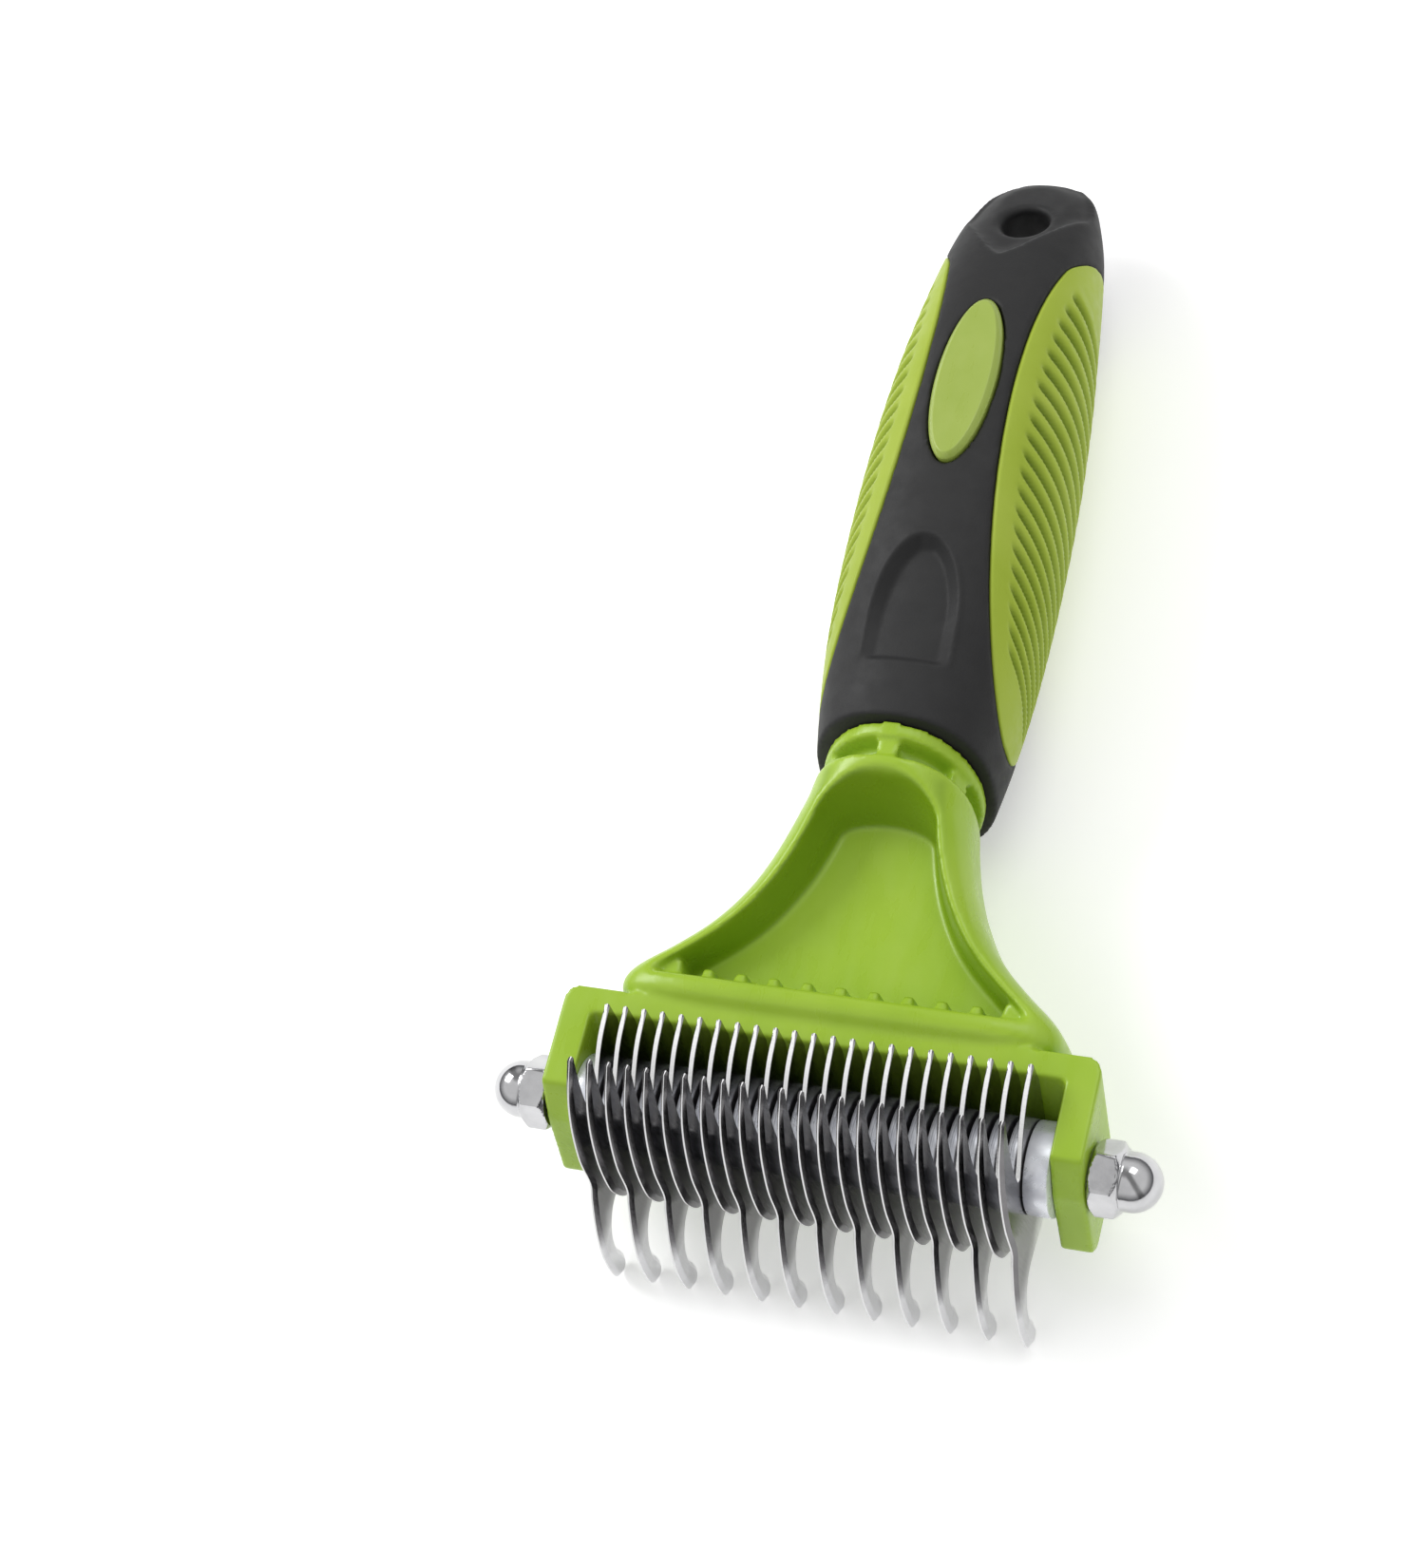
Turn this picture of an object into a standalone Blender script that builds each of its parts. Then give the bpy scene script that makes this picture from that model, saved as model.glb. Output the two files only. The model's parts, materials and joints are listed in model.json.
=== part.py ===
"""Double-sided deshedding rake: a bolted stack of toothed plates in a fork on a soft grip.

Tool frame, in millimetres: X along the axle, Y from the axle towards the butt of the
handle, Z up, origin at the middle of the axle. The finished tool is then laid down as it
rests on a table: tooth tips and butt on Z = 0, origin under the middle of its box.
"""

import math

import bmesh
import bpy
from mathutils import Matrix, Vector

MM = 0.001
GAP = 0.3                      # clearance between neighbouring pieces
BEYOND = 30.0                  # how far cutters reach past the surfaces they cut

# Plate stack
PLATE_COUNT = 23
PLATE_PITCH = 3.0
PLATE_THICKNESS = 0.8
PLATE_SETBACK = 0.6            # between the plates' backs and the bar
HEEL_FOOT = -6.0               # height of the lower end of a plate's straight back
AXLE_RADIUS = 3.0              # M6 rod
BORE_RADIUS = AXLE_RADIUS + GAP
SPACER_RADIUS = 7.0
AXLE_HALF_LENGTH = 48.0

# Cap nuts, M6
NUT_ACROSS_FLATS = 10.0
NUT_HEX_LENGTH = 4.4
NUT_DOME_RADIUS = 4.45
NUT_LENGTH = 10.0
NUT_BORE_DEPTH = 6.5

# Fork
FORK_HALF_WIDTH = 42.2
ARM_THICKNESS = 5.0
WINDOW_HALF_WIDTH = FORK_HALF_WIDTH - ARM_THICKNESS
BAR_FRONT = 11.4
BAR_BACK = 15.3
BAR_TOP = 8.0
BAR_BOTTOM = -9.6
HEAD_LEAN = 0.42               # how far the head leans forwards per unit of drop

# Web between the fork and the handle
WEB_TOP = 9.6
WEB_FLOOR_TOP = 0.8
WEB_FLOOR_BOTTOM = -1.8
RIM_WIDTH = 4.6
GUSSET_COUNT = 11
GUSSET_REACH = 26.5            # middle of the outermost gusset
GUSSET_FOOT = 18.6             # buried start of the gussets
GUSSET_FACE = 19.4             # front wall they stand on
GUSSET_TOP = 6.6
RECESS_MOUTH = 13.5            # height beyond the rim where the recesses open

# Collar and tang
COLLAR_LENGTH = 2.2
COLLAR_HALF_WIDTH = 12.9
COLLAR_HALF_HEIGHT = 13.3
COLLAR_DROP = 0.6
FRONT_SLANT = math.radians(18.0)
NECK_START = 52.0
NECK_HALF_WIDTH = 9.9
NECK_HALF_HEIGHT = 10.2
NECK_RIB_SWEEP = 8.0           # half width of a rib, in degrees
NECK_RIB_ANGLES = (90.0, 30.0, 150.0, 270.0)
TANG_HALF_WIDTH = 5.5
TANG_HALF_HEIGHT = 5.0
TANG_START = 55.0
TANG_END = 143.0

# Handle
HANDLE_START = 58.2
SLANT_FADE = 28.0              # length over which the slanted front face fades out
HOLE_Y = 154.5
HOLE_RADIUS = 3.8
BADGE_Y = 119.4
BADGE_HALF_WIDTH = 4.9
BADGE_HALF_LENGTH = 15.0
BADGE_THICKNESS = 2.6
BADGE_SINK = 1.4               # depth of its seat below the crown
BADGE_POCKET_HEIGHT = 8.0
BUTT_FACET = [(146.5, 13.6), (170.0, 1.6), (176.0, 24.0), (150.0, 30.0)]
THUMB_START = 71.5
THUMB_END = 92.0
THUMB_HALF_WIDTH = 7.0
THUMB_FLOOR = 14.7             # height of the recess at its flat end
THUMB_SLOPE = 0.045
THUMB_HEADROOM = 9.0

GREEN = ((0.26, 0.42, 0.03, 1.0), 0.28, 0.0)
BLACK = ((0.025, 0.025, 0.027, 1.0), 0.62, 0.0)
STEEL = ((0.62, 0.62, 0.64, 1.0), 0.25, 1.0)
CHROME = ((0.80, 0.80, 0.80, 1.0), 0.10, 1.0)
SATIN = ((0.55, 0.57, 0.62, 1.0), 0.35, 1.0)


def clear_scene():
    for item in list(bpy.data.objects):
        bpy.data.objects.remove(item, do_unlink=True)


def material_for(name, look):
    colour, roughness, metallic = look
    material = bpy.data.materials.new(name + "_material")
    material.use_nodes = True
    shader = material.node_tree.nodes["Principled BSDF"]
    shader.inputs["Base Color"].default_value = colour
    shader.inputs["Roughness"].default_value = roughness
    shader.inputs["Metallic"].default_value = metallic
    return material


def mesh_object(name, bm, look, parent):
    """Turn a bmesh in millimetres into an object in metres."""
    bmesh.ops.recalc_face_normals(bm, faces=bm.faces)
    bmesh.ops.scale(bm, vec=(MM, MM, MM), verts=bm.verts)
    mesh = bpy.data.meshes.new(name)
    bm.to_mesh(mesh)
    bm.free()
    item = bpy.data.objects.new(name, mesh)
    bpy.context.scene.collection.objects.link(item)
    item.parent = parent
    if look is None:
        item.hide_render = True
        item.display_type = "WIRE"
        return item
    mesh.materials.append(material_for(name, look))
    mesh.shade_smooth()
    mesh.set_sharp_from_angle(angle=math.radians(35.0))
    return item


def cutter(name, bm, parent):
    return mesh_object(name, bm, None, parent)


def boolean(item, tool, operation):
    modifier = item.modifiers.new(operation.lower() + "_" + tool.name, "BOOLEAN")
    modifier.operation = operation
    modifier.solver = "EXACT"
    modifier.object = tool


def bevel(item, width, segments=2, angle=40.0):
    modifier = item.modifiers.new("edge_round", "BEVEL")
    modifier.width = width * MM
    modifier.segments = segments
    modifier.limit_method = "ANGLE"
    modifier.angle_limit = math.radians(angle)
    modifier.use_clamp_overlap = True


def loft(rings):
    """Skin a list of rings of points, closed at both ends."""
    bm = bmesh.new()
    rows = [[bm.verts.new(point) for point in ring] for ring in rings]
    count = len(rows[0])
    for lower, upper in zip(rows, rows[1:]):
        for i in range(count):
            j = (i + 1) % count
            bm.faces.new((lower[i], lower[j], upper[j], upper[i]))
    bm.faces.new(rows[0])
    bm.faces.new(rows[-1])
    return bm


def prism_x(outline, x0, x1):
    """Extrude a (y, z) outline along X."""
    return loft([[(x, y, z) for y, z in outline] for x in (x0, x1)])


def prism_z(outline, z0, z1):
    """Extrude an (x, y) outline along Z."""
    return loft([[(x, y, z) for x, y in outline] for z in (z0, z1)])


def turned_x(profile, sides):
    """Turn an (x, radius) profile about the X axis."""
    rings = []
    for x, radius in profile:
        angles = [2.0 * math.pi * i / sides for i in range(sides)]
        rings.append([(x, radius * math.cos(a), radius * math.sin(a)) for a in angles])
    return loft(rings)


def ring_x(x0, x1, outer, inner, sides):
    """A tube about the X axis, closed on itself."""
    bm = bmesh.new()
    corners = ((x0, outer), (x1, outer), (x1, inner), (x0, inner))
    columns = []
    for i in range(sides):
        a = 2.0 * math.pi * i / sides
        columns.append([bm.verts.new((x, r * math.cos(a), r * math.sin(a))) for x, r in corners])
    for i, column in enumerate(columns):
        following = columns[(i + 1) % sides]
        for k in range(4):
            m = (k + 1) % 4
            bm.faces.new((column[k], column[m], following[m], following[k]))
    return bm


def smooth_through(points, steps):
    """Points along a Catmull-Rom curve through the given ones."""
    result = []
    last = len(points) - 1
    for i in range(last):
        p0 = Vector(points[max(i - 1, 0)])
        p1 = Vector(points[i])
        p2 = Vector(points[i + 1])
        p3 = Vector(points[min(i + 2, last)])
        for k in range(steps):
            t = k / steps
            bend = (2 * p0 - 5 * p1 + 4 * p2 - p3) * t * t + (3 * p1 - p0 - 3 * p2 + p3) * t ** 3
            result.append(tuple(p1 + 0.5 * ((p2 - p0) * t + bend)))
    result.append(tuple(points[last]))
    return result


def along(knots, position):
    """Value on the straight lines between (position, value) knots."""
    if position <= knots[0][0]:
        return knots[0][1]
    for (a, va), (b, vb) in zip(knots, knots[1:]):
        if position <= b:
            t = (position - a) / (b - a)
            return va + (vb - va) * t
    return knots[-1][1]


# ---------------------------------------------------------------- plates

def plate_outline(long_tooth):
    """Side view (y, z) of one plate, from the fin's tip round the front to the back."""
    fin = [(11.3, 12.5), (6.0, 11.8), (1.5, 9.8), (-2.0, 7.4), (-4.3, 5.8)]
    horn_back = [(-4.6, 8.2), (-3.9, 12.0), (-2.4, 16.0), (-0.2, 20.3)]
    horn_front = [(-1.0, 20.6), (-4.8, 17.6), (-8.6, 12.8), (-11.6, 6.4), (-13.1, 0.0)]
    if long_tooth:
        tooth = [(-14.8, -2.2), (-17.4, -5.8), (-19.6, -9.8), (-21.0, -14.0), (-21.6, -18.8)]
        bulb = [(-20.9, -20.9), (-19.4, -21.6), (-17.9, -20.6), (-17.7, -18.4)]
        root = [(-17.8, -16.2), (-16.7, -13.2), (-14.6, -11.0), (-11.6, -10.2)]
        lower = tooth + bulb + root
    else:
        lower = [(-13.0, -3.6), (-12.2, -6.8), (-10.6, -9.2), (-8.8, -10.2)]
    heel = BAR_FRONT - PLATE_SETBACK
    belly = [(-5.0, -11.4), (-1.0, -11.0), (1.8, -9.4)]
    back = [(heel + HEAD_LEAN * (HEEL_FOOT - BAR_TOP), HEEL_FOOT), (heel, BAR_TOP)]
    return fin + horn_back + horn_front + lower + belly + back


def plate_with_bore(outline, thickness, bore_sides=14):
    """A flat plate about the YZ plane with a round bore at the origin."""
    bm = bmesh.new()
    half = thickness / 2.0
    edges = []
    outer = [bm.verts.new((-half, y, z)) for y, z in outline]
    angles = [2.0 * math.pi * i / bore_sides for i in range(bore_sides)]
    inner = [bm.verts.new((-half, BORE_RADIUS * math.cos(a), BORE_RADIUS * math.sin(a))) for a in angles]
    for loop in (outer, inner):
        for i, vert in enumerate(loop):
            edges.append(bm.edges.new((vert, loop[(i + 1) % len(loop)])))
    bmesh.ops.triangle_fill(bm, edges=edges, use_beauty=True)
    extruded = bmesh.ops.extrude_face_region(bm, geom=bm.faces[:])
    moved = [part for part in extruded["geom"] if isinstance(part, bmesh.types.BMVert)]
    bmesh.ops.translate(bm, verts=moved, vec=(thickness, 0.0, 0.0))
    return bm


def plate_x(index):
    return (index - (PLATE_COUNT - 1) / 2.0) * PLATE_PITCH


def build_plates(parent):
    for index in range(PLATE_COUNT):
        outline = plate_outline(long_tooth=index % 2 == 0)
        bm = plate_with_bore(outline, PLATE_THICKNESS)
        plate = mesh_object("blade_%02d" % (index + 1), bm, STEEL, parent)
        plate.location.x = plate_x(index) * MM


def build_spacers(parent):
    half = (PLATE_PITCH - PLATE_THICKNESS) / 2.0 - GAP
    for index in range(PLATE_COUNT - 1):
        bm = ring_x(-half, half, SPACER_RADIUS, BORE_RADIUS, 18)
        spacer = mesh_object("spacer_%02d" % (index + 1), bm, SATIN, parent)
        spacer.location.x = (plate_x(index) + PLATE_PITCH / 2.0) * MM
    inner = plate_x(PLATE_COUNT - 1) + PLATE_THICKNESS / 2.0 + GAP
    outer = WINDOW_HALF_WIDTH - GAP
    mesh_object("end_spacer_right", ring_x(inner, outer, SPACER_RADIUS, BORE_RADIUS, 24), SATIN, parent)
    mesh_object("end_spacer_left", ring_x(-outer, -inner, SPACER_RADIUS, BORE_RADIUS, 24), SATIN, parent)


# ---------------------------------------------------------------- axle and nuts

def build_axle(parent):
    chamfer = 0.5
    profile = [(-AXLE_HALF_LENGTH, AXLE_RADIUS - chamfer),
               (-AXLE_HALF_LENGTH + chamfer, AXLE_RADIUS),
               (AXLE_HALF_LENGTH - chamfer, AXLE_RADIUS),
               (AXLE_HALF_LENGTH, AXLE_RADIUS - chamfer)]
    mesh_object("axle_rod", turned_x(profile, 20), STEEL, parent)


def build_nut(name, side, parent):
    """Cap nut with its hexagon against the fork's arm and its dome outwards."""
    corner = NUT_ACROSS_FLATS / 2.0 / math.cos(math.radians(30.0))
    turn = math.radians(12.0)
    hexagon = [(corner * math.cos(turn + i * math.pi / 3.0), corner * math.sin(turn + i * math.pi / 3.0))
               for i in range(6)]
    nut = mesh_object(name, prism_x(hexagon, 0.0, NUT_HEX_LENGTH), CHROME, parent)
    straight = NUT_LENGTH - NUT_DOME_RADIUS
    profile = [(NUT_HEX_LENGTH - 1.0, NUT_DOME_RADIUS), (straight, NUT_DOME_RADIUS)]
    for step in range(1, 5):
        a = math.radians(85.0) * step / 4.0
        profile.append((straight + NUT_DOME_RADIUS * math.sin(a), NUT_DOME_RADIUS * math.cos(a)))
    dome = cutter(name + "_dome", turned_x(profile, 20), parent)
    cone = [(-0.6, corner - 1.0), (0.9, corner + 0.1), (NUT_HEX_LENGTH - 0.9, corner + 0.1),
            (NUT_HEX_LENGTH, corner - 0.9)]
    chamfer = cutter(name + "_chamfer", turned_x(cone, 20), parent)
    bore = cutter(name + "_bore", turned_x([(-1.0, BORE_RADIUS), (NUT_BORE_DEPTH, BORE_RADIUS)], 14), parent)
    boolean(nut, chamfer, "INTERSECT")
    boolean(nut, dome, "UNION")
    boolean(nut, bore, "DIFFERENCE")
    for item in (nut, dome, chamfer, bore):
        item.location.x = side * (FORK_HALF_WIDTH + GAP) * MM
        item.rotation_euler.z = 0.0 if side > 0 else math.pi


# ---------------------------------------------------------------- handle body

WIDTH_KNOTS = [(54.0, 13.6), (66.0, 15.6), (78.0, 16.8), (94.0, 17.2), (110.0, 16.9), (124.0, 16.0),
               (136.0, 14.7), (146.0, 13.4), (153.0, 12.2), (159.0, 10.4), (163.0, 8.6), (166.0, 5.8)]
TOP_KNOTS = [(54.0, 13.6), (66.0, 14.9), (78.0, 16.5), (94.0, 18.2), (110.0, 19.0), (124.0, 18.7),
             (136.0, 17.2), (146.0, 14.8), (153.0, 12.4), (159.0, 9.8), (163.0, 7.4), (166.0, 4.8)]
BOTTOM_KNOTS = [(54.0, -14.8), (66.0, -15.4), (78.0, -15.6), (94.0, -15.6), (110.0, -14.8), (124.0, -13.2),
                (136.0, -11.0), (146.0, -8.8), (153.0, -6.9), (159.0, -5.0), (163.0, -3.4), (166.0, -1.4)]
SECTION_POWER = 2.25


def handle_section(y, sides):
    """Ring of the handle's body: a full oval, sheared so that its front face leans."""
    half_width = along(WIDTH_KNOTS, y)
    top = along(TOP_KNOTS, y)
    bottom = along(BOTTOM_KNOTS, y)
    middle = (top + bottom) / 2.0
    half_height = (top - bottom) / 2.0
    fade = max(0.0, 1.0 - (y - HANDLE_START) / SLANT_FADE)
    ring = []
    for i in range(sides):
        a = 2.0 * math.pi * i / sides
        c = math.cos(a)
        s = math.sin(a)
        x = half_width * math.copysign(abs(c) ** (2.0 / SECTION_POWER), c)
        z = half_height * math.copysign(abs(s) ** (2.0 / SECTION_POWER), s)
        ring.append((x, y + fade * math.tan(FRONT_SLANT) * z, middle + z))
    return ring


def handle_stations():
    knots = [knot[0] for knot in WIDTH_KNOTS if knot[0] > HANDLE_START + 2.0]
    return [HANDLE_START] + knots


def handle_body(sides=32):
    return loft([handle_section(y, sides) for y in handle_stations()])


def inlay_outline(offset, sign):
    """Plan view (x, y) of the region covered by one side inlay."""
    edge = [(12.5, 149.0), (10.0, 144.0), (8.3, 134.0), (7.7, 122.0), (8.0, 110.0), (9.0, 98.0),
            (10.7, 86.0), (12.6, 76.0), (14.6, 67.0), (16.2, 60.0)]
    points = [(x + offset, y) for x, y in smooth_through(edge, 2)]
    points += [(24.0, 57.0), (24.0, 151.0)]
    return [(sign * x, y) for x, y in points]


def bullet_outline():
    """Plan view of the thumb recess: flat end, straight sides, round nose."""
    shoulder = THUMB_START + 8.0
    nose = THUMB_END - shoulder
    points = [(-THUMB_HALF_WIDTH, THUMB_START), (THUMB_HALF_WIDTH, THUMB_START)]
    for step in range(9):
        a = math.pi * step / 8.0
        points.append((THUMB_HALF_WIDTH * math.cos(a), shoulder + nose * math.sin(a)))
    return points


def slab_above(outline, z_at_start, slope, y_start, thickness):
    """Prism over an (x, y) outline whose floor rises by slope along Y."""
    floor = [(x, y, z_at_start + slope * (y - y_start)) for x, y in outline]
    roof = [(x, y, z + thickness) for x, y, z in floor]
    return loft([floor, roof])


def ellipse(half_width, half_length, centre_y, sides):
    angles = [2.0 * math.pi * i / sides for i in range(sides)]
    return [(half_width * math.cos(a), centre_y + half_length * math.sin(a)) for a in angles]


def badge_solid(grow, thickness):
    """Oval badge plate lying along the crown of the handle."""
    start = BADGE_Y - BADGE_HALF_LENGTH
    reach = BADGE_HALF_LENGTH - 1.0
    slope = (along(TOP_KNOTS, BADGE_Y + reach) - along(TOP_KNOTS, BADGE_Y - reach)) / (2.0 * reach)
    seat = along(TOP_KNOTS, start) - BADGE_SINK - grow
    outline = ellipse(BADGE_HALF_WIDTH + grow, BADGE_HALF_LENGTH + grow, BADGE_Y, 28)
    return slab_above(outline, seat, slope, start, thickness + grow)


def tang_ring(y, grow):
    half_width = TANG_HALF_WIDTH + grow
    top = TANG_HALF_HEIGHT + grow + 2.0
    bottom = -TANG_HALF_HEIGHT - grow
    chamfer = 1.6
    corners = [(half_width, bottom + chamfer), (half_width, top - chamfer), (half_width - chamfer, top),
               (-half_width + chamfer, top), (-half_width, top - chamfer), (-half_width, bottom + chamfer),
               (-half_width + chamfer, bottom), (half_width - chamfer, bottom)]
    return [(x, y, z) for x, z in corners]


def build_handle(parent):
    grip = mesh_object("handle_grip", handle_body(), BLACK, parent)
    thumb = slab_above(bullet_outline(), THUMB_FLOOR, THUMB_SLOPE, THUMB_START, THUMB_HEADROOM)
    hole = ellipse(HOLE_RADIUS, HOLE_RADIUS, HOLE_Y, 20)
    tools = [
        cutter("tang_pocket", loft([tang_ring(40.0, GAP), tang_ring(TANG_END + GAP, GAP)]), parent),
        cutter("badge_pocket", badge_solid(GAP, BADGE_POCKET_HEIGHT), parent),
        cutter("thumb_recess", thumb, parent),
        cutter("butt_facet", prism_x(BUTT_FACET, -BEYOND, BEYOND), parent),
        cutter("hang_hole", prism_z(hole, -BEYOND, BEYOND), parent),
    ]
    for name, sign in (("left", -1.0), ("right", 1.0)):
        pocket = prism_z(inlay_outline(-GAP, sign), -BEYOND, BEYOND)
        tools.append(cutter("inlay_pocket_" + name, pocket, parent))
    for tool in tools:
        boolean(grip, tool, "DIFFERENCE")

    for name, sign in (("left", -1.0), ("right", 1.0)):
        cheek = mesh_object("side_inlay_" + name, handle_body(), GREEN, parent)
        region = cutter("inlay_region_" + name, prism_z(inlay_outline(0.0, sign), -BEYOND, BEYOND), parent)
        boolean(cheek, region, "INTERSECT")
    mesh_object("badge", badge_solid(0.0, BADGE_THICKNESS), GREEN, parent)


# ---------------------------------------------------------------- head frame

def arm_outline():
    """Side view (y, z) of the fork: flat top, leaning front faces, leaning back of the bar."""
    back_foot = BAR_BACK + HEAD_LEAN * (BAR_BOTTOM - BAR_TOP)
    return [(BAR_BACK, BAR_TOP), (-0.6, BAR_TOP), (-4.6, 1.6), (-8.8, -9.4), (-7.4, -11.4),
            (-1.0, -11.8), (back_foot, BAR_BOTTOM)]


WEB_KNOTS = [(9.9, 32.6), (14.7, 33.6), (16.4, 34.8), (18.6, 34.6), (21.0, 32.6), (24.0, 28.8), (28.0, 24.2),
             (32.0, 20.8), (37.0, 17.8), (42.0, 15.7), (48.0, 14.0), (53.0, 13.0)]
RIM_TOP_KNOTS = [(9.9, 6.0), (14.7, WEB_TOP - 1.4), (16.4, WEB_TOP), (24.0, 9.4), (37.0, 10.4), (48.0, 12.0),
                 (53.0, 12.9)]


def web_ring(y, sides):
    """Section of the web: a rounded slab that turns into the oval of the neck."""
    half_width = along(WEB_KNOTS, y)
    top = along(RIM_TOP_KNOTS, y)
    power = 5.0 - 2.6 * min(1.0, max(0.0, (y - 20.0) / 30.0))
    shear = math.tan(FRONT_SLANT) * min(1.0, max(0.0, (y - 36.0) / 18.0))
    if y < BAR_FRONT:
        shear = HEAD_LEAN
    ring = []
    for i in range(sides):
        a = 2.0 * math.pi * (i + 0.5) / sides
        c = math.cos(a)
        s = math.sin(a)
        x = half_width * math.copysign(abs(c) ** (2.0 / power), c)
        z = top * math.copysign(abs(s) ** (2.0 / power), s)
        ring.append((x, y + shear * z, z))
    return ring


def recess_outline(inset, apex):
    """Plan view of the web's recess: the web's own outline moved inwards, with a round apex."""
    start = 18.0 + 0.3 * inset
    right = [(along(WEB_KNOTS, y) - inset, y) for y in (start, 22.0, 25.0, 29.0, 33.0, 38.0, 43.0, 47.0)]
    nose_y = right[-1][1]
    nose_width = right[-1][0]
    nose = []
    for step in range(1, 8):
        a = math.pi * step / 8.0
        nose.append((nose_width * math.cos(a), nose_y + (apex - nose_y) * math.sin(a)))
    left = [(-x, y) for x, y in reversed(right)]
    return right + nose + left


def web_recess(floor, mouth, apex):
    """Dish that hollows one side of the web, its walls drafted outwards from floor to mouth."""
    levels = ((floor, RIM_WIDTH + 1.4, apex - 4.6), (mouth, RIM_WIDTH - 1.0, apex))
    rings = [[(x, y, z) for x, y in recess_outline(inset, nose)] for z, inset, nose in levels]
    return loft(rings)


def collar_ring(y, half_width, half_height, sides=28):
    ring = []
    for i in range(sides):
        a = 2.0 * math.pi * i / sides
        z = half_height * math.sin(a)
        ring.append((half_width * math.cos(a), y + math.tan(FRONT_SLANT) * z, z - COLLAR_DROP))
    return ring


def neck_rib(angle):
    """Small rib across the groove between the web and the collar."""
    half = math.radians(NECK_RIB_SWEEP)
    corners = ((angle - half, 0.5), (angle + half, 0.5), (angle + half, 0.985), (angle - half, 0.985))
    rings = []
    for y in (NECK_START + 1.0, HANDLE_START - GAP - 1.0):
        ring = []
        for a, scale in corners:
            x = COLLAR_HALF_WIDTH * scale * math.cos(a)
            z = COLLAR_HALF_HEIGHT * scale * math.sin(a)
            ring.append((x, y + math.tan(FRONT_SLANT) * z, z - COLLAR_DROP))
        rings.append(ring)
    return loft(rings)


def build_head(parent):
    fork = prism_x(arm_outline(), -FORK_HALF_WIDTH, FORK_HALF_WIDTH)
    frame = mesh_object("head_frame", fork, GREEN, parent)
    drop = HEAD_LEAN * BEYOND
    window = [(-BEYOND, BAR_TOP - BEYOND), (BAR_FRONT - drop, BAR_TOP - BEYOND),
              (BAR_FRONT + drop, BAR_TOP + BEYOND), (-BEYOND, BAR_TOP + BEYOND)]
    opening = prism_x(window, -WINDOW_HALF_WIDTH, WINDOW_HALF_WIDTH)
    boolean(frame, cutter("window", opening, parent), "DIFFERENCE")
    bevel(frame, 0.9)
    web = cutter("web", loft([web_ring(y, 24) for y, _ in WEB_KNOTS]), parent)
    upper = web_recess(WEB_FLOOR_TOP, RECESS_MOUTH, 55.0)
    boolean(web, cutter("recess_top", upper, parent), "DIFFERENCE")
    lower = web_recess(WEB_FLOOR_BOTTOM, -RECESS_MOUTH, 49.0)
    boolean(web, cutter("recess_bottom", lower, parent), "DIFFERENCE")
    boolean(frame, web, "UNION")
    neck_rings = [collar_ring(NECK_START, NECK_HALF_WIDTH, NECK_HALF_HEIGHT, 24),
                  collar_ring(HANDLE_START - GAP - 1.0, NECK_HALF_WIDTH, NECK_HALF_HEIGHT, 24)]
    boolean(frame, cutter("neck", loft(neck_rings), parent), "UNION")
    for angle in NECK_RIB_ANGLES:
        rib = neck_rib(math.radians(angle))
        boolean(frame, cutter("neck_rib_%03d" % angle, rib, parent), "UNION")
    collar_start = HANDLE_START - GAP - COLLAR_LENGTH
    collar_end = HANDLE_START - GAP
    wide = COLLAR_HALF_WIDTH
    tall = COLLAR_HALF_HEIGHT
    collar_rings = [collar_ring(collar_start, wide - 0.8, tall - 0.8),
                    collar_ring(collar_start + 0.8, wide, tall),
                    collar_ring(collar_end, wide, tall)]
    boolean(frame, cutter("collar", loft(collar_rings), parent), "UNION")
    tang = loft([tang_ring(TANG_START, 0.0), tang_ring(TANG_END, 0.0)])
    boolean(frame, cutter("tang", tang, parent), "UNION")
    reach = FORK_HALF_WIDTH + BEYOND
    axle_hole = turned_x([(-reach, BORE_RADIUS), (reach, BORE_RADIUS)], 18)
    boolean(frame, cutter("axle_hole", axle_hole, parent), "DIFFERENCE")
    for index in range(GUSSET_COUNT):
        x = GUSSET_REACH * (2.0 * index / (GUSSET_COUNT - 1) - 1.0)
        outer = index in (0, GUSSET_COUNT - 1)
        reach = 2.6 if outer else 1.7
        half = 1.1 if outer else 0.8
        tip = GUSSET_FACE + reach
        bump = [(x - half, GUSSET_FOOT), (x + half, GUSSET_FOOT),
                (x + 0.5 * half, tip), (x - 0.5 * half, tip)]
        gusset = cutter("gusset_%02d" % (index + 1), prism_z(bump, -1.0, GUSSET_TOP), parent)
        boolean(frame, gusset, "UNION")


# ---------------------------------------------------------------- resting position

def world_points(items):
    graph = bpy.context.evaluated_depsgraph_get()
    points = []
    for item in items:
        evaluated = item.evaluated_get(graph)
        mesh = evaluated.to_mesh()
        points += [evaluated.matrix_world @ vertex.co for vertex in mesh.vertices]
        evaluated.to_mesh_clear()
    return points


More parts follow.
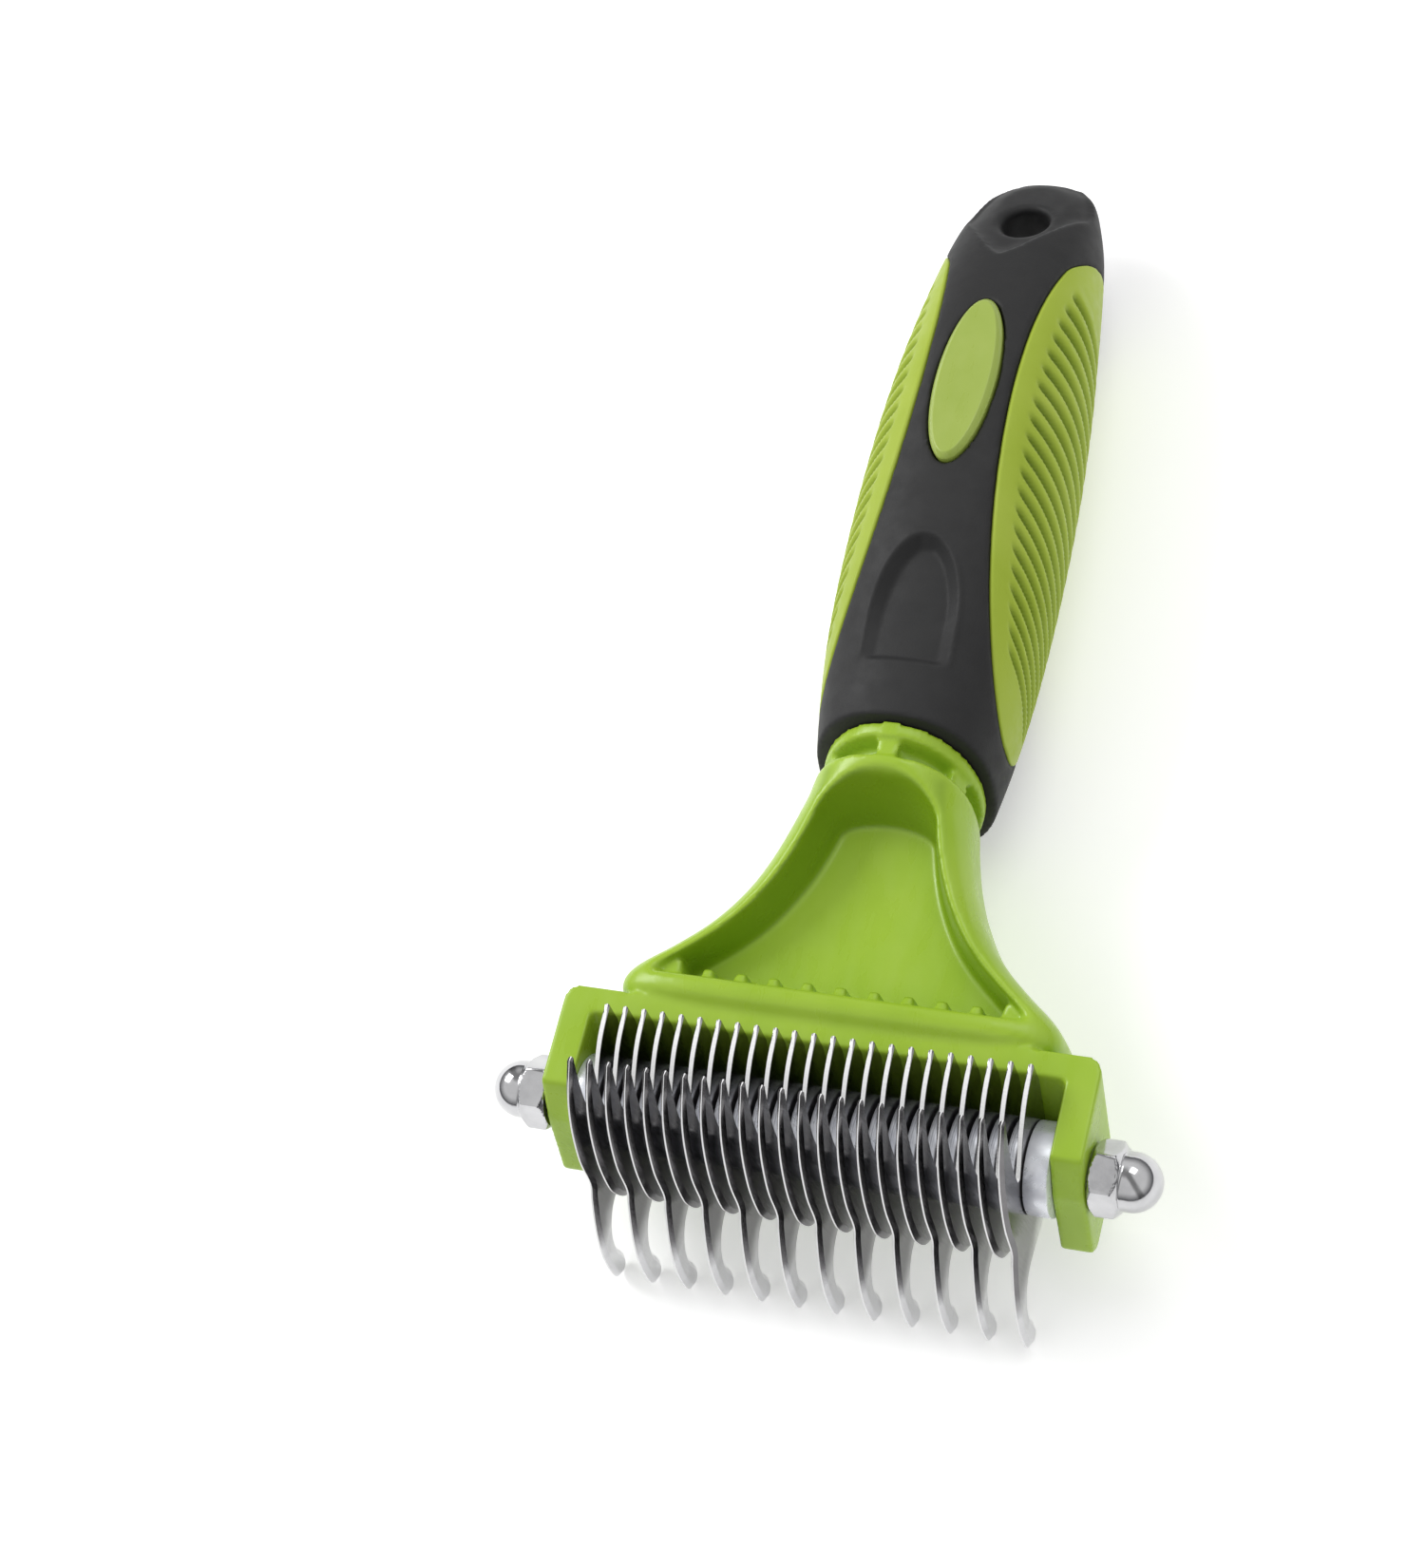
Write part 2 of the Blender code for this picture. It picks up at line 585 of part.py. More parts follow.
def lay_down(root):
    """Rest the tool on its tooth tips and its handle, box centred on the origin."""
    bpy.context.view_layer.update()
    items = [item for item in bpy.data.objects if item.type == "MESH" and not item.hide_render]
    points = world_points(items)
    tip = min((p for p in points if p.y < 0.0), key=lambda p: p.z)
    behind = [p for p in points if p.y > 50.0 * MM]
    tilt = min(math.atan2(p.z - tip.z, p.y - tip.y) for p in behind)
    turn = Matrix.Rotation(-tilt, 4, "X")
    turned = [turn @ p for p in points]
    low = [min(p[k] for p in turned) for k in range(3)]
    high = [max(p[k] for p in turned) for k in range(3)]
    root.rotation_euler.x = -tilt
    root.location = (-(low[0] + high[0]) / 2.0, -(low[1] + high[1]) / 2.0, -low[2])
    bpy.context.view_layer.update()


def main():
    clear_scene()
    root = bpy.data.objects.new("tool", None)
    bpy.context.scene.collection.objects.link(root)
    build_head(root)
    build_handle(root)
    build_axle(root)
    build_nut("cap_nut_left", -1.0, root)
    build_nut("cap_nut_right", 1.0, root)
    build_plates(root)
    build_spacers(root)
    lay_down(root)


main()
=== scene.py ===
"""Looks of the double-sided deshedding rake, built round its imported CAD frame.

Shapes are worked out in the tool's own frame, in millimetres: X along the axle, Y from
the axle towards the butt of the handle, Z up, origin at the middle of the axle. Each
finished piece is then carried into the frame's metres.
"""

import math
import json

import bmesh
import bpy
import numpy as np
from mathutils import Matrix, Vector


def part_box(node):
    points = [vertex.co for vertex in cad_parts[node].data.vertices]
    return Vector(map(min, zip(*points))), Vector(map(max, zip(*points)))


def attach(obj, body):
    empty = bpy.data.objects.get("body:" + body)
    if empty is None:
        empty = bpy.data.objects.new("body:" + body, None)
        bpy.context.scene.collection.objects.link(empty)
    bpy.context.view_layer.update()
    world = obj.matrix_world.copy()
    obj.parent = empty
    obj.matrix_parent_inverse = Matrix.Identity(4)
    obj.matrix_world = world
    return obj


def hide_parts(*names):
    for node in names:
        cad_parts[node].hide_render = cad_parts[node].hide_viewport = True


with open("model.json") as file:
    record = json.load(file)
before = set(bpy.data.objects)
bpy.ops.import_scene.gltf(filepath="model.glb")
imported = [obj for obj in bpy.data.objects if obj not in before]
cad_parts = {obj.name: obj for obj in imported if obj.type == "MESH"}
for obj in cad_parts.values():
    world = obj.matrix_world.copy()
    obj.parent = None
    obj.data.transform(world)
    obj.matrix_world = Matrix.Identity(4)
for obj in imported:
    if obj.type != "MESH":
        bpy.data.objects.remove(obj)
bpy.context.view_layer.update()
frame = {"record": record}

MM = 0.001
GAP = 0.3                      # clearance between neighbouring pieces
BEYOND = 30.0                  # how far cutters reach past the surfaces they cut

# Plate stack
PLATE_COUNT = 23
PLATE_PITCH = 3.0
PLATE_THICKNESS = 0.8
PLATE_SETBACK = 0.6
HEEL_FOOT = -6.0               # height of the lower end of a plate's straight back
RIM_HALF = 0.33                # half width of a plain rim; a ground one is narrower
GROUND_RIM_HALF = 0.13
GROUND_SHIFT = -0.22           # how far a ground rim lies off the plate's middle
GROUND_DEPTH = 0.75            # how far its bevel runs into the plate's right face
AXLE_RADIUS = 3.0
BORE_RADIUS = AXLE_RADIUS + GAP
SPACER_RADIUS = 7.0
AXLE_HALF_LENGTH = 48.0
THREAD_PITCH = 1.0
THREAD_DEPTH = 0.5

# Cap nuts
NUT_ACROSS_FLATS = 10.0
NUT_HEX_LENGTH = 4.4
NUT_DOME_RADIUS = 4.45
NUT_LENGTH = 10.0
NUT_TURN = math.radians(12.0)

# Fork
FORK_HALF_WIDTH = 42.2
ARM_THICKNESS = 5.0
WINDOW_HALF_WIDTH = FORK_HALF_WIDTH - ARM_THICKNESS
BAR_FRONT = 11.4
BAR_BACK = 15.3
BAR_TOP = 8.0
BAR_BOTTOM = -9.6
HEAD_LEAN = 0.42

# Web
WEB_TOP = 9.6
WEB_FLOOR_TOP = 0.8
WEB_FLOOR_BOTTOM = -1.8
RIM_WIDTH = 4.6
GUSSET_COUNT = 11
GUSSET_REACH = 26.5            # middle of the outermost gusset
GUSSET_FOOT = 18.6
GUSSET_FACE = 19.4
GUSSET_TOP = 6.6

# Collar
COLLAR_LENGTH = 2.2
COLLAR_HALF_WIDTH = 12.9
COLLAR_HALF_HEIGHT = 13.3
COLLAR_DROP = 0.6
FRONT_SLANT = math.radians(18.0)
NECK_START = 52.0
NECK_HALF_WIDTH = 9.9
NECK_HALF_HEIGHT = 10.2
NECK_RIB_ANGLES = (90.0, 30.0, 150.0, 270.0)
NECK_RIB_SWEEP = 8.0           # half width of a rib, in degrees
NECK_RIB_HEIGHT = 0.955        # of the collar's own height
CORNER_RADIUS = 2.6            # of the fork's rear corners

# Handle
HANDLE_START = 58.2
SLANT_FADE = 28.0
SECTION_POWER = 2.25
HOLE_Y = 154.5
HOLE_RADIUS = 3.8
BUTT_START = 140.0
BUTT_END = 172.0
BUTT_HALF_WIDTH = 18.0
BUTT_LID = 32.0
BUTT_RIDGE_Y = 145.0
BUTT_RIDGE_RISE = 1.25
BUTT_DEPTH = 1.7
BUTT_FACET_Y = 146.5
BUTT_FACET_TOP = 13.6
BUTT_FACET_SLOPE = 0.51
BADGE_Y = 119.4
BADGE_HALF_WIDTH = 4.9
BADGE_HALF_LENGTH = 15.0
BADGE_THICKNESS = 2.6
BADGE_SINK = 1.4               # depth of its seat below the crown
BADGE_POCKET_HEIGHT = 8.0
THUMB_START = 71.5
THUMB_END = 92.0
THUMB_HALF_WIDTH = 7.0
THUMB_DEPTH = 1.9
THUMB_WALL = 2.0

# Ribs of the side inlays
RIB_PITCH = 3.1
RIB_DEPTH = 1.5
RIB_MARGIN = 2.9
RIB_FIRST = 76.0
RIB_LAST = 143.5
RIB_SHARE = 0.62               # of the pitch that is groove

FLOOR_GLOW = 0.36              # lifts the shadows as a light table does
FLOOR_HALF_WIDTH = 3.0         # metres

# Mesh detail
HEAD_VOXEL = 0.42
WEB_SOFTENING = 12
HEAD_SOFTENING = 4
GRIP_VOXEL = 0.39
GRIP_SOFTENING = 5

WIDTH_KNOTS = [(54.0, 13.6), (66.0, 15.6), (78.0, 16.8), (94.0, 17.2), (110.0, 16.9), (124.0, 16.0),
               (136.0, 14.7), (146.0, 13.4), (153.0, 12.2), (159.0, 10.4), (163.0, 8.6), (166.0, 5.8)]
TOP_KNOTS = [(54.0, 13.6), (66.0, 14.9), (78.0, 16.5), (94.0, 18.2), (110.0, 19.0), (124.0, 18.7),
             (136.0, 17.2), (146.0, 14.8), (153.0, 12.4), (159.0, 9.8), (163.0, 7.4), (166.0, 4.8)]
BOTTOM_KNOTS = [(54.0, -14.8), (66.0, -15.4), (78.0, -15.6), (94.0, -15.6), (110.0, -14.8), (124.0, -13.2),
                (136.0, -11.0), (146.0, -8.8), (153.0, -6.9), (159.0, -5.0), (163.0, -3.4), (166.0, -1.4)]
INLAY_EDGE = [(57.0, 17.1), (60.0, 16.2), (67.0, 14.6), (76.0, 12.6), (86.0, 10.7), (98.0, 9.0),
              (110.0, 8.0), (122.0, 7.7), (134.0, 8.3), (144.0, 10.0), (147.0, 11.6), (149.0, 13.1),
              (150.6, 14.8)]
WEB_KNOTS = [(9.9, 32.6), (14.7, 33.6), (16.4, 34.8), (18.6, 34.6), (21.0, 32.6), (24.0, 28.8), (28.0, 24.2),
             (32.0, 20.8), (37.0, 17.8), (42.0, 15.7), (48.0, 14.0), (53.0, 13.0)]
RIM_TOP_KNOTS = [(9.9, 6.0), (14.7, WEB_TOP - 1.4), (16.4, WEB_TOP), (24.0, 9.4), (37.0, 10.4),
                 (48.0, 12.0), (53.0, 12.9)]


# ---------------------------------------------------------------- curves

def tool_to_row():
    """The placing of the tool's own frame, read from the axle's box and the web's floor."""
    low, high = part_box("axle_rod")
    floor = next(m for m in frame["record"]["mounts"] if m["name"] == "web_floor")
    tilt = -math.asin(floor["axis"][1])
    return Matrix.Translation((low + high) / 2.0) @ Matrix.Rotation(tilt, 4, "X") @ Matrix.Scale(MM, 4)


TO_ROW = tool_to_row()


def curve_value(knots, position):
    """Value of a smooth curve through (position, value) knots."""
    places = [knot[0] for knot in knots]
    values = [knot[1] for knot in knots]
    position = min(max(position, places[0]), places[-1])
    i = min(max(int(np.searchsorted(places, position)) - 1, 0), len(knots) - 2)

    def slope(k):
        a = max(k - 1, 0)
        b = min(k + 1, len(knots) - 1)
        return (values[b] - values[a]) / (places[b] - places[a])

    span = places[i + 1] - places[i]
    t = (position - places[i]) / span
    start = values[i] * (2 * t ** 3 - 3 * t * t + 1) + slope(i) * span * (t ** 3 - 2 * t * t + t)
    return start + values[i + 1] * (3 * t * t - 2 * t ** 3) + slope(i + 1) * span * (t ** 3 - t * t)


def smooth_through(points, steps):
    """Points along a Catmull-Rom curve through the given ones."""
    result = []
    last = len(points) - 1
    for i in range(last):
        p0 = Vector(points[max(i - 1, 0)])
        p1 = Vector(points[i])
        p2 = Vector(points[i + 1])
        p3 = Vector(points[min(i + 2, last)])
        for k in range(steps):
            t = k / steps
            bend = (2 * p0 - 5 * p1 + 4 * p2 - p3) * t * t + (3 * p1 - p0 - 3 * p2 + p3) * t ** 3
            result.append(tuple(p1 + 0.5 * ((p2 - p0) * t + bend)))
    result.append(tuple(points[last]))
    return result


def smoothstep(low, high, value):
    t = np.clip((value - low) / (high - low), 0.0, 1.0)
    return t * t * (3.0 - 2.0 * t)


def signed_power(value, power):
    return math.copysign(abs(value) ** power, value)


# ---------------------------------------------------------------- meshes

def add_object(name, mesh):
    item = bpy.data.objects.new(name, mesh)
    bpy.context.scene.collection.objects.link(item)
    return item


def mesh_from_bmesh(name, bm):
    bmesh.ops.recalc_face_normals(bm, faces=bm.faces)
    mesh = bpy.data.meshes.new(name)
    bm.to_mesh(mesh)
    bm.free()
    return mesh


def skin(rings, closed=False):
    """Mesh over a list of rings of points, capped at both ends, or closed on itself."""
    bm = bmesh.new()
    rows = [[bm.verts.new(point) for point in ring] for ring in rings]
    count = len(rows[0])
    pairs = list(zip(rows, rows[1:]))
    if closed:
        pairs.append((rows[-1], rows[0]))
    for lower, upper in pairs:
        for i in range(count):
            j = (i + 1) % count
            bm.faces.new((lower[i], lower[j], upper[j], upper[i]))
    if not closed:
        bm.faces.new(rows[0])
        bm.faces.new(rows[-1])
    return mesh_from_bmesh("skin", bm)


def prism_x(outline, x0, x1):
    return skin([[(x, y, z) for y, z in outline] for x in (x0, x1)])


def prism_z(outline, z0, z1):
    return skin([[(x, y, z) for x, y in outline] for z in (z0, z1)])


def turned_x(profile, sides, closed=False):
    """Turn an (x, radius) profile about the X axis."""
    rings = []
    for x, radius in profile:
        angles = [2.0 * math.pi * i / sides for i in range(sides)]
        rings.append([(x, radius * math.cos(a), radius * math.sin(a)) for a in angles])
    return skin(rings, closed)


def evaluated_mesh(item):
    graph = bpy.context.evaluated_depsgraph_get()
    return bpy.data.meshes.new_from_object(item.evaluated_get(graph))


def drop(*items):
    for item in items:
        bpy.data.objects.remove(item, do_unlink=True)


def cut(mesh, *tools):
    """Take each tool's solid away from a mesh."""
    item = add_object("cut", mesh)
    cutters = [add_object("tool", tool) for tool in tools]
    for tool in cutters:
        modifier = item.modifiers.new("cut", "BOOLEAN")
        modifier.operation = "DIFFERENCE"
        modifier.solver = "EXACT"
        modifier.object = tool
    result = evaluated_mesh(item)
    drop(item, *cutters)
    return result


def moulded(meshes, voxel, passes):
    """One skin over overlapping solids, with the rounded edges of a moulding."""
    bm = bmesh.new()
    for mesh in meshes:
        bm.from_mesh(mesh)
    joined = bpy.data.meshes.new("joined")
    bm.to_mesh(joined)
    bm.free()
    item = add_object("moulding", joined)
    remesh = item.modifiers.new("skin", "REMESH")
    remesh.mode = "VOXEL"
    remesh.voxel_size = voxel
    relax = item.modifiers.new("fillets", "SMOOTH")
    relax.factor = 0.5
    relax.iterations = passes
    result = evaluated_mesh(item)
    drop(item)
    return result


def place(name, mesh, materials, nodes, offset=0.0, sharp=None):
    """Carry a finished mesh into the frame and let it stand for its CAD nodes."""
    mesh.transform(TO_ROW @ Matrix.Translation((offset, 0.0, 0.0)))
    mesh.name = name
    for material in materials:
        mesh.materials.append(material)
    mesh.shade_smooth()
    if sharp is not None:
        mesh.set_sharp_from_angle(angle=math.radians(sharp))
    item = add_object(name, mesh)
    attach(item, "root")
    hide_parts(*nodes)
    return item


# ---------------------------------------------------------------- materials

class Look:
    """A procedural material and short ways of wiring its nodes."""

    def __init__(self, name, roughness, metallic=0.0):
        self.material = bpy.data.materials.new(name)
        self.material.use_nodes = True
        self.tree = self.material.node_tree
        self.shader = self.tree.nodes["Principled BSDF"]
        self.shader.inputs["Metallic"].default_value = metallic
        self.shader.inputs["Roughness"].default_value = roughness
        self.place = self.tree.nodes.new("ShaderNodeTexCoord").outputs["Object"]

    def link(self, source, target):
        self.tree.links.new(source, target)

    def noise(self, size, stretch=(1.0, 1.0, 1.0), detail=4.0, distortion=0.0):
        """Noise whose features are about size millimetres across, drawn out by stretch."""
        mapping = self.tree.nodes.new("ShaderNodeMapping")
        mapping.inputs["Scale"].default_value = [1.0 / (size * MM * s) for s in stretch]
        self.link(self.place, mapping.inputs["Vector"])
        noise = self.tree.nodes.new("ShaderNodeTexNoise")
        noise.inputs["Scale"].default_value = 1.0
        noise.inputs["Detail"].default_value = detail
        noise.inputs["Distortion"].default_value = distortion
        self.link(mapping.outputs["Vector"], noise.inputs["Vector"])
        return noise.outputs["Fac"]

    def cells(self, size):
        """Distance to the nearest grain, for a fine moulded texture."""
        mapping = self.tree.nodes.new("ShaderNodeMapping")
        mapping.inputs["Scale"].default_value = [1.0 / (size * MM)] * 3
        self.link(self.place, mapping.inputs["Vector"])
        cells = self.tree.nodes.new("ShaderNodeTexVoronoi")
        cells.inputs["Scale"].default_value = 1.0
        self.link(mapping.outputs["Vector"], cells.inputs["Vector"])
        return cells.outputs["Distance"]

    def spread(self, value, low, high, start=0.35, end=0.65):
        """Map a noise value onto a range of numbers."""
        node = self.tree.nodes.new("ShaderNodeMapRange")
        node.inputs["From Min"].default_value = start
        node.inputs["From Max"].default_value = end
        node.inputs["To Min"].default_value = low
        node.inputs["To Max"].default_value = high
        self.link(value, node.inputs["Value"])
        return node.outputs["Result"]

    def ramp(self, value, stops):
        """Map a value onto colours, from (position, colour) stops."""
        node = self.tree.nodes.new("ShaderNodeValToRGB")
        elements = node.color_ramp.elements
        while len(elements) < len(stops):
            elements.new(0.5)
        for element, (position, colour) in zip(elements, stops):
            element.position = position
            element.color = (*colour, 1.0)
        self.link(value, node.inputs["Fac"])
        return node.outputs["Color"]

    def add(self, first, second):
        node = self.tree.nodes.new("ShaderNodeMath")
        node.operation = "ADD"
        self.link(first, node.inputs[0])
        self.link(second, node.inputs[1])
        return node.outputs["Value"]

    def tinted(self, colour, attribute, tint):
        """Multiply a colour by a tint where the mesh carries an attribute."""
        factor = self.tree.nodes.new("ShaderNodeAttribute")
        factor.attribute_name = attribute
        node = self.tree.nodes.new("ShaderNodeMix")
        node.data_type = "RGBA"
        node.blend_type = "MULTIPLY"
        node.inputs["B"].default_value = (*tint, 1.0)
        self.link(factor.outputs["Fac"], node.inputs["Factor"])
        self.link(colour, node.inputs["A"])
        return node.outputs["Result"]

    def colour(self, source):
        self.link(source, self.shader.inputs["Base Color"])

    def roughness(self, source):
        self.link(source, self.shader.inputs["Roughness"])

    def bump(self, heights):
        """Stack (height, depth in millimetres, strength) bumps."""
        normal = None
        for height, depth, strength in heights:
            node = self.tree.nodes.new("ShaderNodeBump")
            node.inputs["Distance"].default_value = depth * MM
            node.inputs["Strength"].default_value = strength
            self.link(height, node.inputs["Height"])
            if normal is not None:
                self.link(normal, node.inputs["Normal"])
            normal = node.outputs["Normal"]
        self.link(normal, self.shader.inputs["Normal"])


def green_gloss():
    look = Look("green_gloss", 0.30)
    look.shader.inputs["Specular IOR Level"].default_value = 0.42
    cloud = look.noise(14.0, detail=3.0)
    skin_colour = look.ramp(cloud, [(0.30, (0.315, 0.500, 0.026)), (0.55, (0.345, 0.530, 0.036)),
                                    (0.75, (0.370, 0.550, 0.048))])
    # painted shade: the colour is multiplied darker on the steep walls of the web's recess
    look.colour(look.tinted(skin_colour, "recess", (0.58, 0.64, 0.30)))
    look.roughness(look.spread(look.noise(2.6, (1.0, 3.0, 1.0)), 0.25, 0.36))
    scuffs = look.noise(0.5, (14.0, 1.0, 1.0), detail=6.0)
    look.bump([(look.noise(0.9), 0.020, 0.5), (scuffs, 0.006, 0.35)])
    return look.material


def green_satin():
    look = Look("green_satin", 0.44)
    look.shader.inputs["Specular IOR Level"].default_value = 0.32
    cloud = look.noise(11.0, detail=3.0)
    skin_colour = look.ramp(cloud, [(0.30, (0.345, 0.455, 0.034)), (0.55, (0.370, 0.480, 0.045)),
                                    (0.75, (0.395, 0.500, 0.058))])
    # painted shade: the colour is multiplied darker down in the ribs' grooves
    look.colour(look.tinted(skin_colour, "groove", (0.24, 0.34, 0.03)))
    look.roughness(look.spread(look.noise(1.8), 0.38, 0.52))
    look.bump([(look.cells(0.32), 0.018, 0.5), (look.noise(1.2), 0.02, 0.4)])
    return look.material


def badge_gloss():
    look = Look("badge_gloss", 0.30)
    cloud = look.noise(6.0, detail=3.0)
    look.colour(look.ramp(cloud, [(0.30, (0.330, 0.440, 0.070)), (0.70, (0.365, 0.470, 0.090))]))
    look.roughness(look.spread(look.noise(1.4, (1.0, 4.0, 1.0)), 0.26, 0.38))
    look.bump([(look.noise(0.7), 0.014, 0.5)])
    return look.material


def soft_black():
    look = Look("soft_black", 0.6)
    look.shader.inputs["Specular IOR Level"].default_value = 0.35
    cloud = look.noise(16.0, detail=4.0)
    look.colour(look.ramp(cloud, [(0.30, (0.0165, 0.0165, 0.0170)), (0.70, (0.0200, 0.0200, 0.0205))]))
    look.roughness(look.spread(look.noise(3.0), 0.56, 0.64))
    look.bump([(look.cells(0.28), 0.020, 0.5)])
    return look.material


def steel_face():
    """Polished sheet with painted reflection in its colour: dark on the body of the plate, lighter towards
    the fins, bright on the teeth.
    """
    look = Look("steel_face", 0.18, 1.0)
    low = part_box("blade_01")[0].z
    split = look.tree.nodes.new("ShaderNodeSeparateXYZ")
    look.link(look.place, split.inputs["Vector"])
    # painted reflection: the teeth, low on the plate, are coloured bright and the body above them dark
    teeth_painted_reflection = look.spread(split.outputs["Z"], 0.0, 1.0, low + 0.0150, low + 0.0105)
    stain = look.spread(look.noise(5.0, detail=5.0), -0.12, 0.12)
    axle = (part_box("axle_rod")[0].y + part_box("axle_rod")[1].y) / 2.0
    # painted reflection: the faces behind the axle, towards the fins, are coloured lighter
    fins_painted_reflection = look.spread(split.outputs["Y"], 0.0, 0.45, axle + 1.0 * MM, axle + 8.0 * MM)
    stain_and_painted_reflection = look.add(look.add(teeth_painted_reflection, stain), fins_painted_reflection)
    look.colour(look.ramp(stain_and_painted_reflection, [(0.0, (0.17, 0.165, 0.17)), (0.25, (0.22, 0.215, 0.22)),
                                                   (1.0, (0.64, 0.64, 0.65))]))
    brushed = look.noise(0.22, (1.0, 1.0, 22.0), detail=5.0)
    look.roughness(look.spread(brushed, 0.15, 0.25))
    look.bump([(brushed, 0.002, 0.3)])
    return look.material


def steel_painted_highlight():
    look = Look("steel_painted_highlight", 0.30, 0.15)
    grain = look.noise(0.18, (6.0, 1.0, 1.0), detail=5.0)
    # painted highlight: a near-white, almost non-metallic colour stands in for the glint on the plates'
    # rims; the threaded rod takes the same colour
    look.colour(look.ramp(grain, [(0.30, (0.88, 0.88, 0.88)), (0.70, (0.97, 0.97, 0.97))]))
    look.roughness(look.spread(grain, 0.36, 0.50))
    look.bump([(grain, 0.006, 0.5)])
    return look.material


def turned_metal():
    look = Look("turned_metal", 0.3, 0.45)
    haze = look.noise(4.0, detail=4.0, distortion=0.6)
    look.colour(look.ramp(haze, [(0.30, (0.66, 0.68, 0.75)), (0.70, (0.86, 0.88, 0.92))]))
    lathe = look.noise(0.12, (1.0, 60.0, 60.0), detail=3.0)
    look.roughness(look.spread(look.noise(2.2), 0.24, 0.42))
    look.bump([(lathe, 0.010, 0.5), (look.noise(1.6), 0.03, 0.4)])
    return look.material


def chrome():
    look = Look("chrome", 0.1, 1.0)
    haze = look.noise(3.0, detail=4.0)
    look.colour(look.ramp(haze, [(0.30, (0.50, 0.50, 0.51)), (0.70, (0.60, 0.60, 0.61))]))
    look.roughness(look.spread(look.noise(1.1), 0.07, 0.17))
    look.bump([(look.noise(1.8), 0.02, 0.4)])
    return look.material


# ---------------------------------------------------------------- plates

def plate_outline(long_tooth):
    """Side view (y, z) of one plate: its back up to the horn's tip, then its front."""
    heel = BAR_FRONT - PLATE_SETBACK
    back = [(heel + HEAD_LEAN * (HEEL_FOOT - BAR_TOP), HEEL_FOOT), (heel, BAR_TOP)]
    fin = [(11.3, 12.5), (6.0, 11.8), (1.5, 9.8), (-2.0, 7.4), (-4.0, 6.2)]
    horn_back = [(-4.75, 6.8), (-4.6, 8.2), (-3.9, 12.0), (-2.4, 16.0), (-0.2, 20.3)]
    front = [(-1.0, 20.6), (-4.8, 17.6), (-8.6, 12.8), (-11.6, 6.4), (-13.1, 0.0)]
    if long_tooth:
        front += [(-14.8, -2.2), (-17.4, -5.8), (-19.6, -9.8), (-21.0, -14.0), (-21.6, -18.8)]
        front += [(-20.9, -20.9), (-19.4, -21.6), (-17.9, -20.6), (-17.7, -18.4)]
        front += [(-17.8, -16.2), (-16.7, -13.2), (-14.6, -11.0), (-11.6, -10.2)]
    else:
        front += [(-13.0, -3.6), (-12.2, -6.8), (-10.6, -9.2), (-8.8, -10.2)]
    front += [(-5.0, -11.4), (-1.0, -11.0), (1.8, -9.4)]
    return back + smooth_through(fin, 5) + smooth_through(horn_back, 5), smooth_through(front, 5)


def inward(points, amounts):
    """Move each point of a closed (y, z) outline inwards by its own amount."""
    ahead = np.roll(points, -1, 0) - np.roll(points, 1, 0)
    ahead /= np.linalg.norm(ahead, axis=1)[:, None]
    normals = np.stack((-ahead[:, 1], ahead[:, 0]), 1)
    following = np.roll(points, -1, 0)
    area = np.sum(points[:, 0] * following[:, 1] - following[:, 0] * points[:, 1])
    return points + normals * amounts[:, None] * math.copysign(1.0, area)


def rim_levels(points, middle, half_rim, grinds):
    """Rings (x, y, z) round a plate's rim: face, both corners of its land, which carries the painted
    highlight, face.
    """
    half = PLATE_THICKNESS / 2.0
    left = np.column_stack((np.full(len(points), -half), inward(points, grinds[0])))
    right = np.column_stack((np.full(len(points), half), inward(points, grinds[1])))
    rim_left = np.column_stack((middle - half_rim, points))
    rim_right = np.column_stack((middle + half_rim, points))
    return [left, rim_left, rim_right, right]


def plate_mesh(long_tooth):
    """A flat plate with a ground front edge and a bore; its rim takes the second material."""
    back, front = plate_outline(long_tooth)
    outline = np.array(back + front)
    ground = np.concatenate((np.zeros(len(back)), np.ones(len(front))))
    angles = np.linspace(0.0, 2.0 * math.pi, 48, endpoint=False)
    bore = BORE_RADIUS * np.column_stack((np.cos(angles), np.sin(angles)))
    fin_tip = smoothstep(8.5, 11.3, outline[:, 0]) * (outline[:, 1] > 6.0)
    tip = np.clip(fin_tip + smoothstep(15.5, 20.4, outline[:, 1]), 0.0, 1.0)
    middle = GROUND_SHIFT * ground * (1.0 - tip)
    half_rim = (RIM_HALF + (GROUND_RIM_HALF - RIM_HALF) * ground) * (1.0 - 0.65 * tip)
    softening = 0.07 + 0.12 * tip
    grinds = (softening, softening + GROUND_DEPTH * ground * (1.0 - 0.8 * tip))
    centred = np.zeros(len(bore))
    countersink = np.full(len(bore), -0.06)
    shapes = (rim_levels(outline, middle, half_rim, grinds),
              rim_levels(bore, centred, centred + RIM_HALF, (countersink, countersink)))
    bm = bmesh.new()
    loops = []
    for levels in shapes:
        rows = [[bm.verts.new(point) for point in level] for level in levels]
        for level, (lower, upper) in enumerate(zip(rows, rows[1:])):
            for i in range(len(lower)):
                j = (i + 1) % len(lower)
                face = bm.faces.new((lower[i], lower[j], upper[j], upper[i]))
                face.material_index = 1 if level == 1 else 0
        loops.append(rows)
    for end in (0, -1):
        edges = []
        for rows in loops:
            loop = rows[end]
            edges += [bm.edges.get((loop[i - 1], loop[i])) for i in range(len(loop))]
        bmesh.ops.triangle_fill(bm, edges=edges, use_beauty=True)
    return mesh_from_bmesh("plate", bm)


def plate_x(index):
    return (index - (PLATE_COUNT - 1) / 2.0) * PLATE_PITCH


def make_plates():
    materials = [steel_face(), steel_painted_highlight()]
    for index in range(PLATE_COUNT):
        name = "%02d" % (index + 1)
        mesh = plate_mesh(long_tooth=index % 2 == 0)
        place("rake_plate_" + name, mesh, materials, ["blade_" + name],
              plate_x(index), 30.0)


